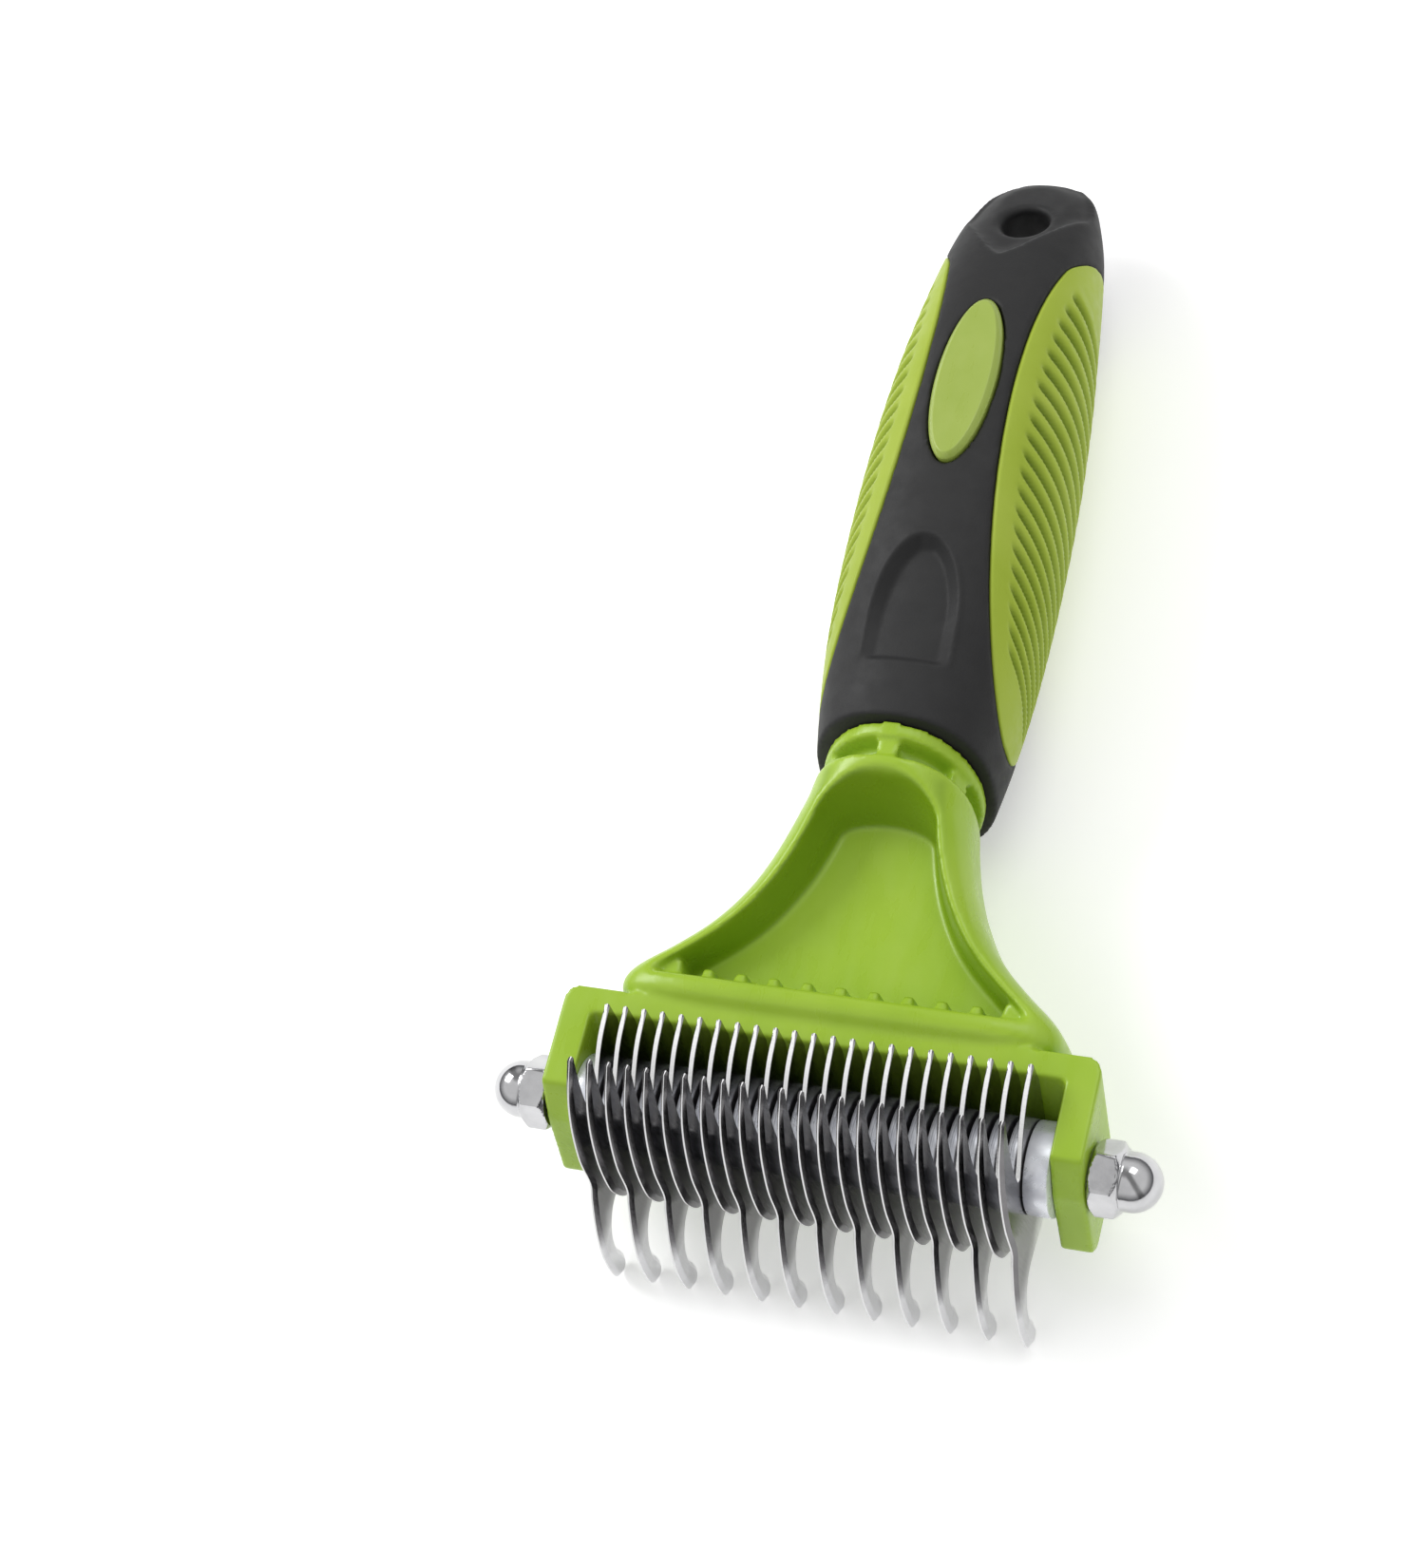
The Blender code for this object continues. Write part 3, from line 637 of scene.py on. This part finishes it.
def spacer_mesh(x0, x1, groove):
    """A turned ring with chamfered rims and, where groove isn't nought, a line round its middle."""
    chamfer = 0.3
    middle = (x0 + x1) / 2.0
    outer = SPACER_RADIUS
    profile = [(x0, BORE_RADIUS), (x0, outer - chamfer),
               (x0 + 0.4 * chamfer, outer - 0.2 * chamfer), (x0 + chamfer, outer)]
    if groove:
        profile += [(middle - 2.0 * groove, outer), (middle - groove, outer - groove),
                    (middle + groove, outer - groove), (middle + 2.0 * groove, outer)]
    profile += [(x1 - chamfer, outer), (x1 - 0.4 * chamfer, outer - 0.2 * chamfer),
                (x1, outer - chamfer), (x1, BORE_RADIUS)]
    return turned_x(profile, 96, closed=True)


def make_spacers():
    metal = [turned_metal()]
    half = (PLATE_PITCH - PLATE_THICKNESS) / 2.0 - GAP
    for index in range(PLATE_COUNT - 1):
        name = "%02d" % (index + 1)
        middle = plate_x(index) + PLATE_PITCH / 2.0
        ring = spacer_mesh(-half, half, 0.10)
        place("washer_" + name, ring, metal, ["spacer_" + name], middle, 30.0)
    inner = plate_x(PLATE_COUNT - 1) + PLATE_THICKNESS / 2.0 + 0.1
    outer = WINDOW_HALF_WIDTH + 0.02
    for name, x0, x1 in (("right", inner, outer), ("left", -outer, -inner)):
        sleeve = spacer_mesh(x0, x1, 0.0)
        place("end_sleeve_" + name, sleeve, metal, ["end_spacer_" + name], sharp=30.0)


# ---------------------------------------------------------------- axle and nuts

def make_axle():
    """Threaded rod, its thread drawn as a row of vees."""
    profile = [(-AXLE_HALF_LENGTH, AXLE_RADIUS - THREAD_DEPTH)]
    turns = int(2.0 * AXLE_HALF_LENGTH / THREAD_PITCH) - 1
    for turn in range(turns):
        x = -AXLE_HALF_LENGTH + (turn + 0.5) * THREAD_PITCH
        profile += [(x, AXLE_RADIUS - THREAD_DEPTH), (x + 0.40 * THREAD_PITCH, AXLE_RADIUS),
                    (x + 0.55 * THREAD_PITCH, AXLE_RADIUS)]
    profile.append((AXLE_HALF_LENGTH, AXLE_RADIUS - THREAD_DEPTH))
    rod = turned_x(profile, 48)
    place("threaded_rod", rod, [steel_painted_highlight()], ["axle_rod"], sharp=30.0)


def hexagon_reach(angle):
    """Distance from the axis to the softened hexagon's side in one direction."""
    sharpness = 70.0
    total = 0.0
    for k in range(6):
        facing = math.cos(angle - NUT_TURN - math.radians(30.0 + 60.0 * k))
        if facing > 0.0:
            total += facing ** sharpness
    return NUT_ACROSS_FLATS / 2.0 / total ** (1.0 / sharpness)


def nut_rings(sides=180):
    """Rings from the seat face over the chamfered hexagon, up the barrel and over the dome."""
    corner = NUT_ACROSS_FLATS / 2.0 / math.cos(math.radians(30.0))
    rings = []

    def hexagon_ring(x, limit):
        ring = []
        for i in range(sides):
            a = 2.0 * math.pi * i / sides
            r = min(hexagon_reach(a), limit)
            ring.append((x, r * math.cos(a), r * math.sin(a)))
        rings.append(ring)

    def round_ring(x, r):
        angles = [2.0 * math.pi * i / sides for i in range(sides)]
        rings.append([(x, r * math.cos(a), r * math.sin(a)) for a in angles])

    round_ring(0.0, BORE_RADIUS)
    hexagon_ring(0.0, corner - 0.85)
    for step in range(1, 6):
        hexagon_ring(0.15 * step, corner - 0.85 + 0.17 * step)
    for step in range(6):
        hexagon_ring(NUT_HEX_LENGTH - 0.95 + 0.15 * step, corner - 0.17 * step)
    hexagon_ring(NUT_HEX_LENGTH - 0.08, corner - 1.0)
    round_ring(NUT_HEX_LENGTH, NUT_DOME_RADIUS + 0.30)
    round_ring(NUT_HEX_LENGTH + 0.06, NUT_DOME_RADIUS + 0.10)
    round_ring(NUT_HEX_LENGTH + 0.25, NUT_DOME_RADIUS)
    straight = NUT_LENGTH - NUT_DOME_RADIUS
    foot = NUT_HEX_LENGTH + 0.4
    for step in range(4):
        round_ring(foot + (straight - foot) * step / 4.0, NUT_DOME_RADIUS)
    for step in range(20):
        a = math.radians(88.5) * step / 19.0
        round_ring(straight + NUT_DOME_RADIUS * math.sin(a), NUT_DOME_RADIUS * math.cos(a))
    return rings


def make_nuts():
    plating = [chrome()]
    for name, side in (("left", -1.0), ("right", 1.0)):
        seat = side * (FORK_HALF_WIDTH + GAP)
        rings = [[(seat + side * x, y, z) for x, y, z in ring] for ring in nut_rings()]
        place("dome_nut_" + name, skin(rings), plating, ["cap_nut_" + name], sharp=28.0)


# ---------------------------------------------------------------- handle

def section_point(y, a):
    """Point of the handle's outer surface at station y and section angle a."""
    half_width = curve_value(WIDTH_KNOTS, y)
    top = curve_value(TOP_KNOTS, y)
    bottom = curve_value(BOTTOM_KNOTS, y)
    x = half_width * signed_power(math.cos(a), 2.0 / SECTION_POWER)
    z = (top - bottom) / 2.0 * signed_power(math.sin(a), 2.0 / SECTION_POWER)
    fade = max(0.0, 1.0 - (y - HANDLE_START) / SLANT_FADE)
    return x, y + fade * math.tan(FRONT_SLANT) * z, (top + bottom) / 2.0 + z


def handle_mesh(sides=120, step=1.0):
    end = WIDTH_KNOTS[-1][0]
    count = int((end - HANDLE_START) / step)
    stations = [HANDLE_START + (end - HANDLE_START) * i / count for i in range(count + 1)]
    angles = [2.0 * math.pi * i / sides for i in range(sides)]
    return skin([[section_point(y, a) for a in angles] for y in stations])


def inlay_cutter(sign):
    edge = [(curve_value(INLAY_EDGE, y) - GAP, y) for y in np.arange(57.0, 150.6, 1.5)]
    outline = edge + [(24.0, 151.0), (24.0, 57.0)]
    return prism_z([(sign * x, y) for x, y in outline], -BEYOND, BEYOND)


def ellipse(half_width, half_length, centre_y, sides):
    angles = [2.0 * math.pi * i / sides for i in range(sides)]
    return [(half_width * math.cos(a), centre_y + half_length * math.sin(a)) for a in angles]


def badge_height(y):
    """Height of the badge's face along the handle."""
    start = BADGE_Y - BADGE_HALF_LENGTH
    reach = BADGE_HALF_LENGTH - 1.0
    rise = curve_value(TOP_KNOTS, BADGE_Y + reach) - curve_value(TOP_KNOTS, BADGE_Y - reach)
    seat = curve_value(TOP_KNOTS, start) - BADGE_SINK
    return seat + BADGE_THICKNESS + rise / (2.0 * reach) * (y - start)


def badge_rings(levels, sides=96):
    """Oval rings parallel to the badge's face, from (growth, height above the face) levels."""
    rings = []
    for grow, lift in levels:
        outline = ellipse(BADGE_HALF_WIDTH + grow, BADGE_HALF_LENGTH + grow, BADGE_Y, sides)
        rings.append([(x, y, badge_height(y) + lift) for x, y in outline])
    return rings


def thumb_depth(x, y):
    """How far the thumb rest is sunk below the grip's surface at a place seen from above."""
    shoulder = THUMB_START + 7.0
    nose = THUMB_END - shoulder
    run = np.clip((y - shoulder) / nose, 0.0, 1.0)
    half_width = THUMB_HALF_WIDTH * np.sqrt(np.clip(1.0 - run * run, 0.0, 1.0))
    slope = THUMB_HALF_WIDTH * run / nose / np.sqrt(np.clip(1.0 - run * run, 0.02, 1.0))
    side = (half_width - np.abs(x)) / np.sqrt(1.0 + slope * slope)
    inside = np.minimum(side, THUMB_END - y)
    wall = np.clip(inside / THUMB_WALL, 0.0, 1.0)
    floor = THUMB_DEPTH * (0.35 + 0.65 * smoothstep(THUMB_START, THUMB_START + 12.0, y))
    foot = smoothstep(THUMB_START - 0.3, THUMB_START + 0.9, y)
    lip = 0.16 * np.exp(-((inside + 0.35) / 0.35) ** 2)
    return (floor * wall - lip) * foot


def crown_height(x, y):
    """Height of the handle's upper surface, taken as level beyond most of its width."""
    half_width = curve_value(WIDTH_KNOTS, y)
    top = curve_value(TOP_KNOTS, y)
    bottom = curve_value(BOTTOM_KNOTS, y)
    share = min(abs(x) / half_width, 0.86)
    fullness = (1.0 - share ** SECTION_POWER) ** (1.0 / SECTION_POWER)
    return (top + bottom) / 2.0 + (top - bottom) / 2.0 * fullness


def butt_cutter():
    """Hollow round the hang hole: a drop behind a vee of a ridge, then a flat facet."""
    rings = []
    for x in np.linspace(-BUTT_HALF_WIDTH, BUTT_HALF_WIDTH, 73):
        vee = math.sqrt((x + 1.0) ** 2 + 3.0) - math.sqrt(3.0)
        ridge = BUTT_RIDGE_Y + BUTT_RIDGE_RISE * vee
        ring = []
        for y in np.linspace(BUTT_START, BUTT_END, 81):
            past = y - ridge
            if past > 0.0:
                sunk = crown_height(x, y) - BUTT_DEPTH * (1.0 - math.exp(-past / 1.1))
                height = min(sunk, BUTT_FACET_TOP - BUTT_FACET_SLOPE * (y - BUTT_FACET_Y))
            else:
                height = crown_height(x, y) + min(-0.8 * past, 4.0)
            ring.append((x, y, height))
        rings.append(ring + [(x, BUTT_END, BUTT_LID), (x, BUTT_START, BUTT_LID)])
    return skin(rings)


def press_thumb_rest(mesh):
    """Press the thumb rest into the top of a finely divided grip."""
    count = len(mesh.vertices)
    points = np.empty(count * 3)
    mesh.vertices.foreach_get("co", points)
    points = points.reshape(-1, 3)
    depth = thumb_depth(points[:, 0], points[:, 1])
    points[:, 2] -= np.where(points[:, 2] > 8.0, depth, 0.0)
    mesh.vertices.foreach_set("co", points.ravel())


def hole_rim():
    """Funnel that softens the upper rim of the hang hole."""
    height = BUTT_FACET_TOP - BUTT_FACET_SLOPE * (HOLE_Y - BUTT_FACET_Y)
    rings = []
    for lift, grow in ((-1.4, 0.0), (-0.7, 0.25), (-0.2, 0.7), (0.4, 1.5)):
        outline = ellipse(HOLE_RADIUS + grow, HOLE_RADIUS + grow, HOLE_Y, 64)
        rings.append([(x, y, height + lift - BUTT_FACET_SLOPE * (y - HOLE_Y)) for x, y in outline])
    return skin(rings)


def make_grip():
    hole = prism_z(ellipse(HOLE_RADIUS, HOLE_RADIUS, HOLE_Y, 64), -BEYOND, BEYOND)
    pocket_levels = [(GAP, -BADGE_THICKNESS - GAP), (GAP, BADGE_POCKET_HEIGHT)]
    badge_pocket = skin(badge_rings(pocket_levels, 72))
    body = cut(handle_mesh(), butt_cutter(), hole_rim(), hole, badge_pocket,
               inlay_cutter(-1.0), inlay_cutter(1.0))
    grip = moulded([body], GRIP_VOXEL, GRIP_SOFTENING)
    press_thumb_rest(grip)
    place("grip_shell", grip, [soft_black()], ["handle_grip"])


def rib_depth(y, run, length):
    """Depth of the slanting grooves at a distance run round the inlay from its upper edge."""
    reach = run - RIB_MARGIN
    origin = y
    for _ in range(4):
        origin = y + (0.46 + 0.44 * smoothstep(138.0, 76.0, origin)) * reach
    turn = np.mod(origin / RIB_PITCH, 1.0)
    across = np.clip(1.0 - np.abs(2.0 * turn / RIB_SHARE - 1.0), 0.0, 1.0)
    groove = across * (0.6 + 0.4 * across)
    taper = smoothstep(0.0, 2.4, reach) * smoothstep(0.0, 2.4, length - RIB_MARGIN - run)
    starting = smoothstep(RIB_FIRST, RIB_FIRST + 3.0, origin)
    ending = smoothstep(RIB_LAST, RIB_LAST - 3.0, origin)
    return RIB_DEPTH * groove * taper * starting * ending


def inlay_ring(y, columns, sign):
    """Section of one inlay, and how deep in a groove each of its points lies."""
    samples = 240
    angles = np.linspace(0.5 * math.pi, -0.5 * math.pi, samples + 1)
    points = np.array([section_point(y, a) for a in angles])
    beyond = points[:, 0] - np.array([curve_value(INLAY_EDGE, p[1]) for p in points])
    inside = np.nonzero(beyond > 0.0)[0]
    if len(inside) < 3:
        return None
    first = inside[0] - beyond[inside[0]] / (beyond[inside[0]] - beyond[inside[0] - 1])
    last = inside[-1] + beyond[inside[-1]] / (beyond[inside[-1]] - beyond[inside[-1] + 1])
    fine = np.linspace(first, last, columns)
    outer = np.stack([np.interp(fine, np.arange(samples + 1), points[:, k]) for k in range(3)], 1)
    steps = np.linalg.norm(np.diff(outer, axis=0), axis=1)
    run = np.concatenate(([0.0], np.cumsum(steps)))
    length = run[-1]
    tangent = np.gradient(outer, axis=0)
    normal = np.stack((-tangent[:, 2], np.zeros(columns), tangent[:, 0]), 1)
    normal /= np.linalg.norm(normal, axis=1)[:, None]
    radius = 0.45
    edge = np.clip(1.0 - np.minimum(run, length - run) / radius, 0.0, 1.0)
    rounding = radius * (1.0 - np.sqrt(1.0 - edge * edge))
    groove = rib_depth(outer[:, 1], run, length)
    sunk = groove + np.minimum(rounding, 0.2 * length)
    outwards = np.where(normal[:, :1] >= 0.0, 1.0, -1.0)
    outer = outer - outwards * normal * sunk[:, None]
    back = [outer[-1] + (outer[0] - outer[-1]) * t for t in (0.25, 0.5, 0.75)]
    ring = [(sign * p[0], p[1], p[2]) for p in list(outer) + back]
    # how deep each point lies in a groove, which sets the painted shade there
    groove_shade_depths = np.clip(groove / RIB_DEPTH, 0.0, 1.0) ** 1.1
    return ring, list(groove_shade_depths) + [0.0] * len(back)


def make_inlays():
    satin = [green_satin()]
    for name, sign in (("left", -1.0), ("right", 1.0)):
        rings = []
        grooves = []
        for y in np.arange(58.5, 150.0, 0.42):
            section = inlay_ring(float(y), 110, sign)
            if section is not None:
                rings.append(section[0])
                grooves += section[1]
        mesh = skin(rings)
        # the groove attribute carries the painted shade in the grooves
        mesh.attributes.new("groove", "FLOAT", "POINT").data.foreach_set("value", grooves)
        place("cheek_" + name, mesh, satin, ["side_inlay_" + name])


def make_badge():
    levels = [(0.0, -BADGE_THICKNESS), (0.0, -0.95), (-0.06, -0.80), (-0.78, -0.08),
              (-0.92, 0.0), (-1.05, 0.0), (-1.6, 0.0)]
    badge = skin(badge_rings(levels))
    place("oval_badge", badge, [badge_gloss()], ["badge"], sharp=50.0)


# ---------------------------------------------------------------- head

def arm_outline():
    """Side view (y, z) of the fork: flat top, leaning front faces, leaning back of the bar."""
    back_foot = BAR_BACK + HEAD_LEAN * (BAR_BOTTOM - BAR_TOP)
    return [(BAR_BACK, BAR_TOP), (-0.6, BAR_TOP), (-4.6, 1.6), (-8.8, -9.4), (-7.4, -11.4),
            (-1.0, -11.8), (back_foot, BAR_BOTTOM)]


def web_ring(y, sides=96):
    """Section of the web: a rounded slab that turns into the oval of the neck."""
    half_width = curve_value(WEB_KNOTS, y)
    top = curve_value(RIM_TOP_KNOTS, y)
    power = 5.0 - 2.6 * min(1.0, max(0.0, (y - 20.0) / 30.0))
    shear = math.tan(FRONT_SLANT) * min(1.0, max(0.0, (y - 36.0) / 18.0))
    shear += HEAD_LEAN * min(1.0, max(0.0, (BAR_FRONT + 1.5 - y) / 1.5))
    ring = []
    for i in range(sides):
        a = 2.0 * math.pi * (i + 0.5) / sides
        x = half_width * signed_power(math.cos(a), 2.0 / power)
        z = top * signed_power(math.sin(a), 2.0 / power)
        ring.append((x, y + shear * z, z))
    return ring


def web_mesh():
    start = WEB_KNOTS[0][0]
    end = WEB_KNOTS[-1][0]
    count = 60
    return skin([web_ring(start + (end - start) * i / count) for i in range(count + 1)])


def recess_outline(inset, apex):
    """Plan view of the web's recess: the web's own outline moved inwards, with a round apex."""
    start = 17.4 + 0.42 * inset
    shoulder = 47.0
    stations = [start + (shoulder - start) * i / 24 for i in range(25)]
    right = [(curve_value(WEB_KNOTS, y) - inset, y) for y in stations]
    nose_width = right[-1][0]
    nose = []
    for step in range(1, 24):
        a = math.pi * step / 24.0
        nose.append((nose_width * math.cos(a), shoulder + (apex - shoulder) * math.sin(a)))
    left = [(-x, y) for x, y in reversed(right)]
    return right + nose + left


def web_recess(floor, apex):
    """Dish that hollows one side of the web: drafted walls, then a mouth over the rim."""
    side = math.copysign(1.0, floor)
    rings = [[(x, y, floor) for x, y in recess_outline(RIM_WIDTH + 1.6, apex - 4.8)]]
    levels = ((2.6, 0.1, -0.9), (1.3, -0.5, -0.3), (0.4, -1.3, 0.5), (-3.0, -2.4, 1.6))
    for below, inset, nose in levels:
        ring = []
        for x, y in recess_outline(RIM_WIDTH + inset, apex + nose):
            ring.append((x, y, side * (curve_value(RIM_TOP_KNOTS, y) - below)))
        rings.append(ring)
    return skin(rings)


def collar_ring(y, half_width, half_height, sides=120):
    ring = []
    for i in range(sides):
        a = 2.0 * math.pi * i / sides
        z = half_height * math.sin(a)
        ring.append((half_width * math.cos(a), y + math.tan(FRONT_SLANT) * z, z - COLLAR_DROP))
    return ring


def neck_rib(angle):
    """Small rib across the groove between the web and the collar."""
    half = math.radians(NECK_RIB_SWEEP)
    corners = ((angle - half, 0.5), (angle + half, 0.5),
               (angle + half, NECK_RIB_HEIGHT), (angle - half, NECK_RIB_HEIGHT))
    rings = []
    for y in (NECK_START + 1.0, HANDLE_START - GAP - 1.0):
        ring = []
        for a, scale in corners:
            x = COLLAR_HALF_WIDTH * scale * math.cos(a)
            z = COLLAR_HALF_HEIGHT * scale * math.sin(a)
            ring.append((x, y + math.tan(FRONT_SLANT) * z, z - COLLAR_DROP))
        rings.append(ring)
    return skin(rings)


def gusset_meshes():
    result = []
    for index in range(GUSSET_COUNT):
        x = GUSSET_REACH * (2.0 * index / (GUSSET_COUNT - 1) - 1.0)
        outer = index in (0, GUSSET_COUNT - 1)
        tip = GUSSET_FACE + (2.5 if outer else 1.9)
        half = 1.5 if outer else 1.2
        top = GUSSET_TOP if outer else GUSSET_TOP - 0.4
        bump = [(x - half, GUSSET_FOOT), (x + half, GUSSET_FOOT),
                (x + 0.7 * half, tip), (x - 0.7 * half, tip)]
        result.append(prism_z(bump, -1.0, top))
    return result


def corner_cutter(sign):
    """What is taken off the fork's rear corner to round it, seen from above."""
    margin = 3.0
    centre_x = FORK_HALF_WIDTH - CORNER_RADIUS
    outside_x = FORK_HALF_WIDTH + margin
    levels = []
    for z in (BAR_BOTTOM - 2.0 * margin, BAR_TOP + 2.0 * margin):
        corner_y = BAR_BACK + HEAD_LEAN * (z - BAR_TOP)
        centre_y = corner_y - CORNER_RADIUS
        outside_y = corner_y + margin
        ring = []
        for step in range(9):
            a = math.radians(90.0) * step / 8.0
            ring.append((centre_x + CORNER_RADIUS * math.cos(a), centre_y + CORNER_RADIUS * math.sin(a)))
        ring += [(centre_x, outside_y), (outside_x, outside_y), (outside_x, ring[0][1])]
        levels.append([(sign * x, y, z) for x, y in ring])
    return skin(levels)


def shade_recess(mesh):
    """Mark the steep walls of the web's recess, where the moulding's colour is darkened as painted shade."""
    count = len(mesh.vertices)
    points = np.empty(3 * count)
    mesh.vertices.foreach_get("co", points)
    x, y, _ = points.reshape(count, 3).T
    normals = np.empty(3 * count)
    mesh.vertex_normals.foreach_get("vector", normals)
    steep = smoothstep(0.96, 0.70, np.abs(normals.reshape(count, 3)[:, 2]))
    margin = np.interp(y, *np.array(WEB_KNOTS).T) - np.abs(x)
    inside = smoothstep(2.6, 4.2, margin) * smoothstep(20.0, 22.0, y) * smoothstep(55.5, 53.5, y)
    mesh.attributes.new("recess", "FLOAT", "POINT").data.foreach_set("value", steep * inside)


def make_head():
    lean = HEAD_LEAN * BEYOND
    window = [(-BEYOND, BAR_TOP - BEYOND), (BAR_FRONT - lean, BAR_TOP - BEYOND),
              (BAR_FRONT + lean, BAR_TOP + BEYOND), (-BEYOND, BAR_TOP + BEYOND)]
    reach = FORK_HALF_WIDTH + BEYOND
    fork = cut(prism_x(arm_outline(), -FORK_HALF_WIDTH, FORK_HALF_WIDTH),
               corner_cutter(-1.0), corner_cutter(1.0),
               prism_x(window, -WINDOW_HALF_WIDTH, WINDOW_HALF_WIDTH),
               turned_x([(-reach, BORE_RADIUS), (reach, BORE_RADIUS)], 48))
    web = cut(web_mesh(), web_recess(WEB_FLOOR_TOP, 54.6), web_recess(WEB_FLOOR_BOTTOM, 49.0))
    collar_end = HANDLE_START - GAP
    collar_start = collar_end - COLLAR_LENGTH
    neck = skin([collar_ring(NECK_START, NECK_HALF_WIDTH, NECK_HALF_HEIGHT),
                 collar_ring(collar_end - 1.0, NECK_HALF_WIDTH, NECK_HALF_HEIGHT)])
    collar = skin([collar_ring(collar_start, COLLAR_HALF_WIDTH, COLLAR_HALF_HEIGHT),
                   collar_ring(collar_end, COLLAR_HALF_WIDTH, COLLAR_HALF_HEIGHT)])
    ribs = [neck_rib(math.radians(angle)) for angle in NECK_RIB_ANGLES]
    web = moulded([web], HEAD_VOXEL, WEB_SOFTENING)
    head = moulded([fork, web, neck, collar] + ribs + gusset_meshes(), HEAD_VOXEL, HEAD_SOFTENING)
    shade_recess(head)
    place("fork_head", head, [green_gloss()], ["head_frame"])


# ---------------------------------------------------------------- studio

def pale_floor():
    look = Look("pale_floor", 0.6)
    paper = look.noise(40.0, detail=3.0)
    look.colour(look.ramp(paper, [(0.30, (0.915, 0.915, 0.918)), (0.70, (0.930, 0.930, 0.930))]))
    look.bump([(look.noise(1.2), 0.01, 0.2)])
    look.shader.inputs["Emission Color"].default_value = (1.0, 1.0, 1.0, 1.0)
    look.shader.inputs["Emission Strength"].default_value = FLOOR_GLOW
    return look.material


def make_floor():
    bm = bmesh.new()
    bmesh.ops.create_grid(bm, x_segments=1, y_segments=1, size=FLOOR_HALF_WIDTH)
    mesh = mesh_from_bmesh("studio_floor", bm)
    mesh.materials.append(pale_floor())
    floor = add_object("studio_floor", mesh)
    floor.location.z = -0.0002


def area_light(name, location, size, energy):
    """A square soft box that faces the middle of the tool."""
    light = bpy.data.lights.new(name, "AREA")
    light.size = size
    light.energy = energy
    item = add_object(name, light)
    item.location = location
    item.rotation_euler = (-Vector(location)).to_track_quat("-Z", "Y").to_euler()
    return item


def make_world():
    """Soft surroundings, with a dark horizon and a dark strip overhead for the metals to mirror."""
    world = bpy.data.worlds.new("studio")
    bpy.context.scene.world = world
    world.use_nodes = True
    tree = world.node_tree
    background = tree.nodes["Background"]
    background.inputs["Strength"].default_value = 0.84
    place_node = tree.nodes.new("ShaderNodeTexCoord")
    split = tree.nodes.new("ShaderNodeSeparateXYZ")
    tree.links.new(place_node.outputs["Generated"], split.inputs["Vector"])
    ramp = tree.nodes.new("ShaderNodeValToRGB")
    ramp.color_ramp.elements[0].position = 0.05
    ramp.color_ramp.elements[0].color = (0.16, 0.16, 0.17, 1.0)
    ramp.color_ramp.elements[1].position = 0.50
    ramp.color_ramp.elements[1].color = (1.0, 1.0, 1.0, 1.0)
    tree.links.new(split.outputs["Z"], ramp.inputs["Fac"])
    facing = tree.nodes.new("ShaderNodeVectorMath")
    facing.operation = "DOT_PRODUCT"
    facing.inputs[1].default_value = Vector((0.77, 0.64, 0.0)).normalized()
    tree.links.new(place_node.outputs["Generated"], facing.inputs[0])
    beside = tree.nodes.new("ShaderNodeMath")
    beside.operation = "ABSOLUTE"
    tree.links.new(facing.outputs["Value"], beside.inputs[0])
    shade = tree.nodes.new("ShaderNodeMapRange")
    shade.inputs["From Min"].default_value = 0.10
    shade.inputs["From Max"].default_value = 0.24
    shade.inputs["To Min"].default_value = 0.35
    shade.inputs["To Max"].default_value = 1.0
    tree.links.new(beside.outputs["Value"], shade.inputs["Value"])
    dimmed = tree.nodes.new("ShaderNodeVectorMath")
    dimmed.operation = "SCALE"
    tree.links.new(ramp.outputs["Color"], dimmed.inputs[0])
    tree.links.new(shade.outputs["Result"], dimmed.inputs["Scale"])
    tree.links.new(dimmed.outputs["Vector"], background.inputs["Color"])


def make_camera():
    lens = bpy.data.cameras.new("camera")
    lens.lens = 79.13
    lens.sensor_width = 36.0
    lens.clip_start = 0.01
    camera = add_object("camera", lens)
    camera.location = (0.16119, -0.18915, 0.49397)
    camera.rotation_euler = (math.radians(23.076), math.radians(17.021), math.radians(13.794))
    bpy.context.scene.camera = camera


def make_studio():
    bpy.context.scene.view_settings.view_transform = "Standard"
    make_floor()
    make_world()
    area_light("key", (-0.80, 0.26, 0.66), 0.45, 5.0)
    area_light("top", (0.15, 0.55, 1.10), 0.5, 2.0)
    make_camera()


make_head()
make_grip()
make_inlays()
make_badge()
make_axle()
make_nuts()
make_plates()
make_spacers()
make_studio()
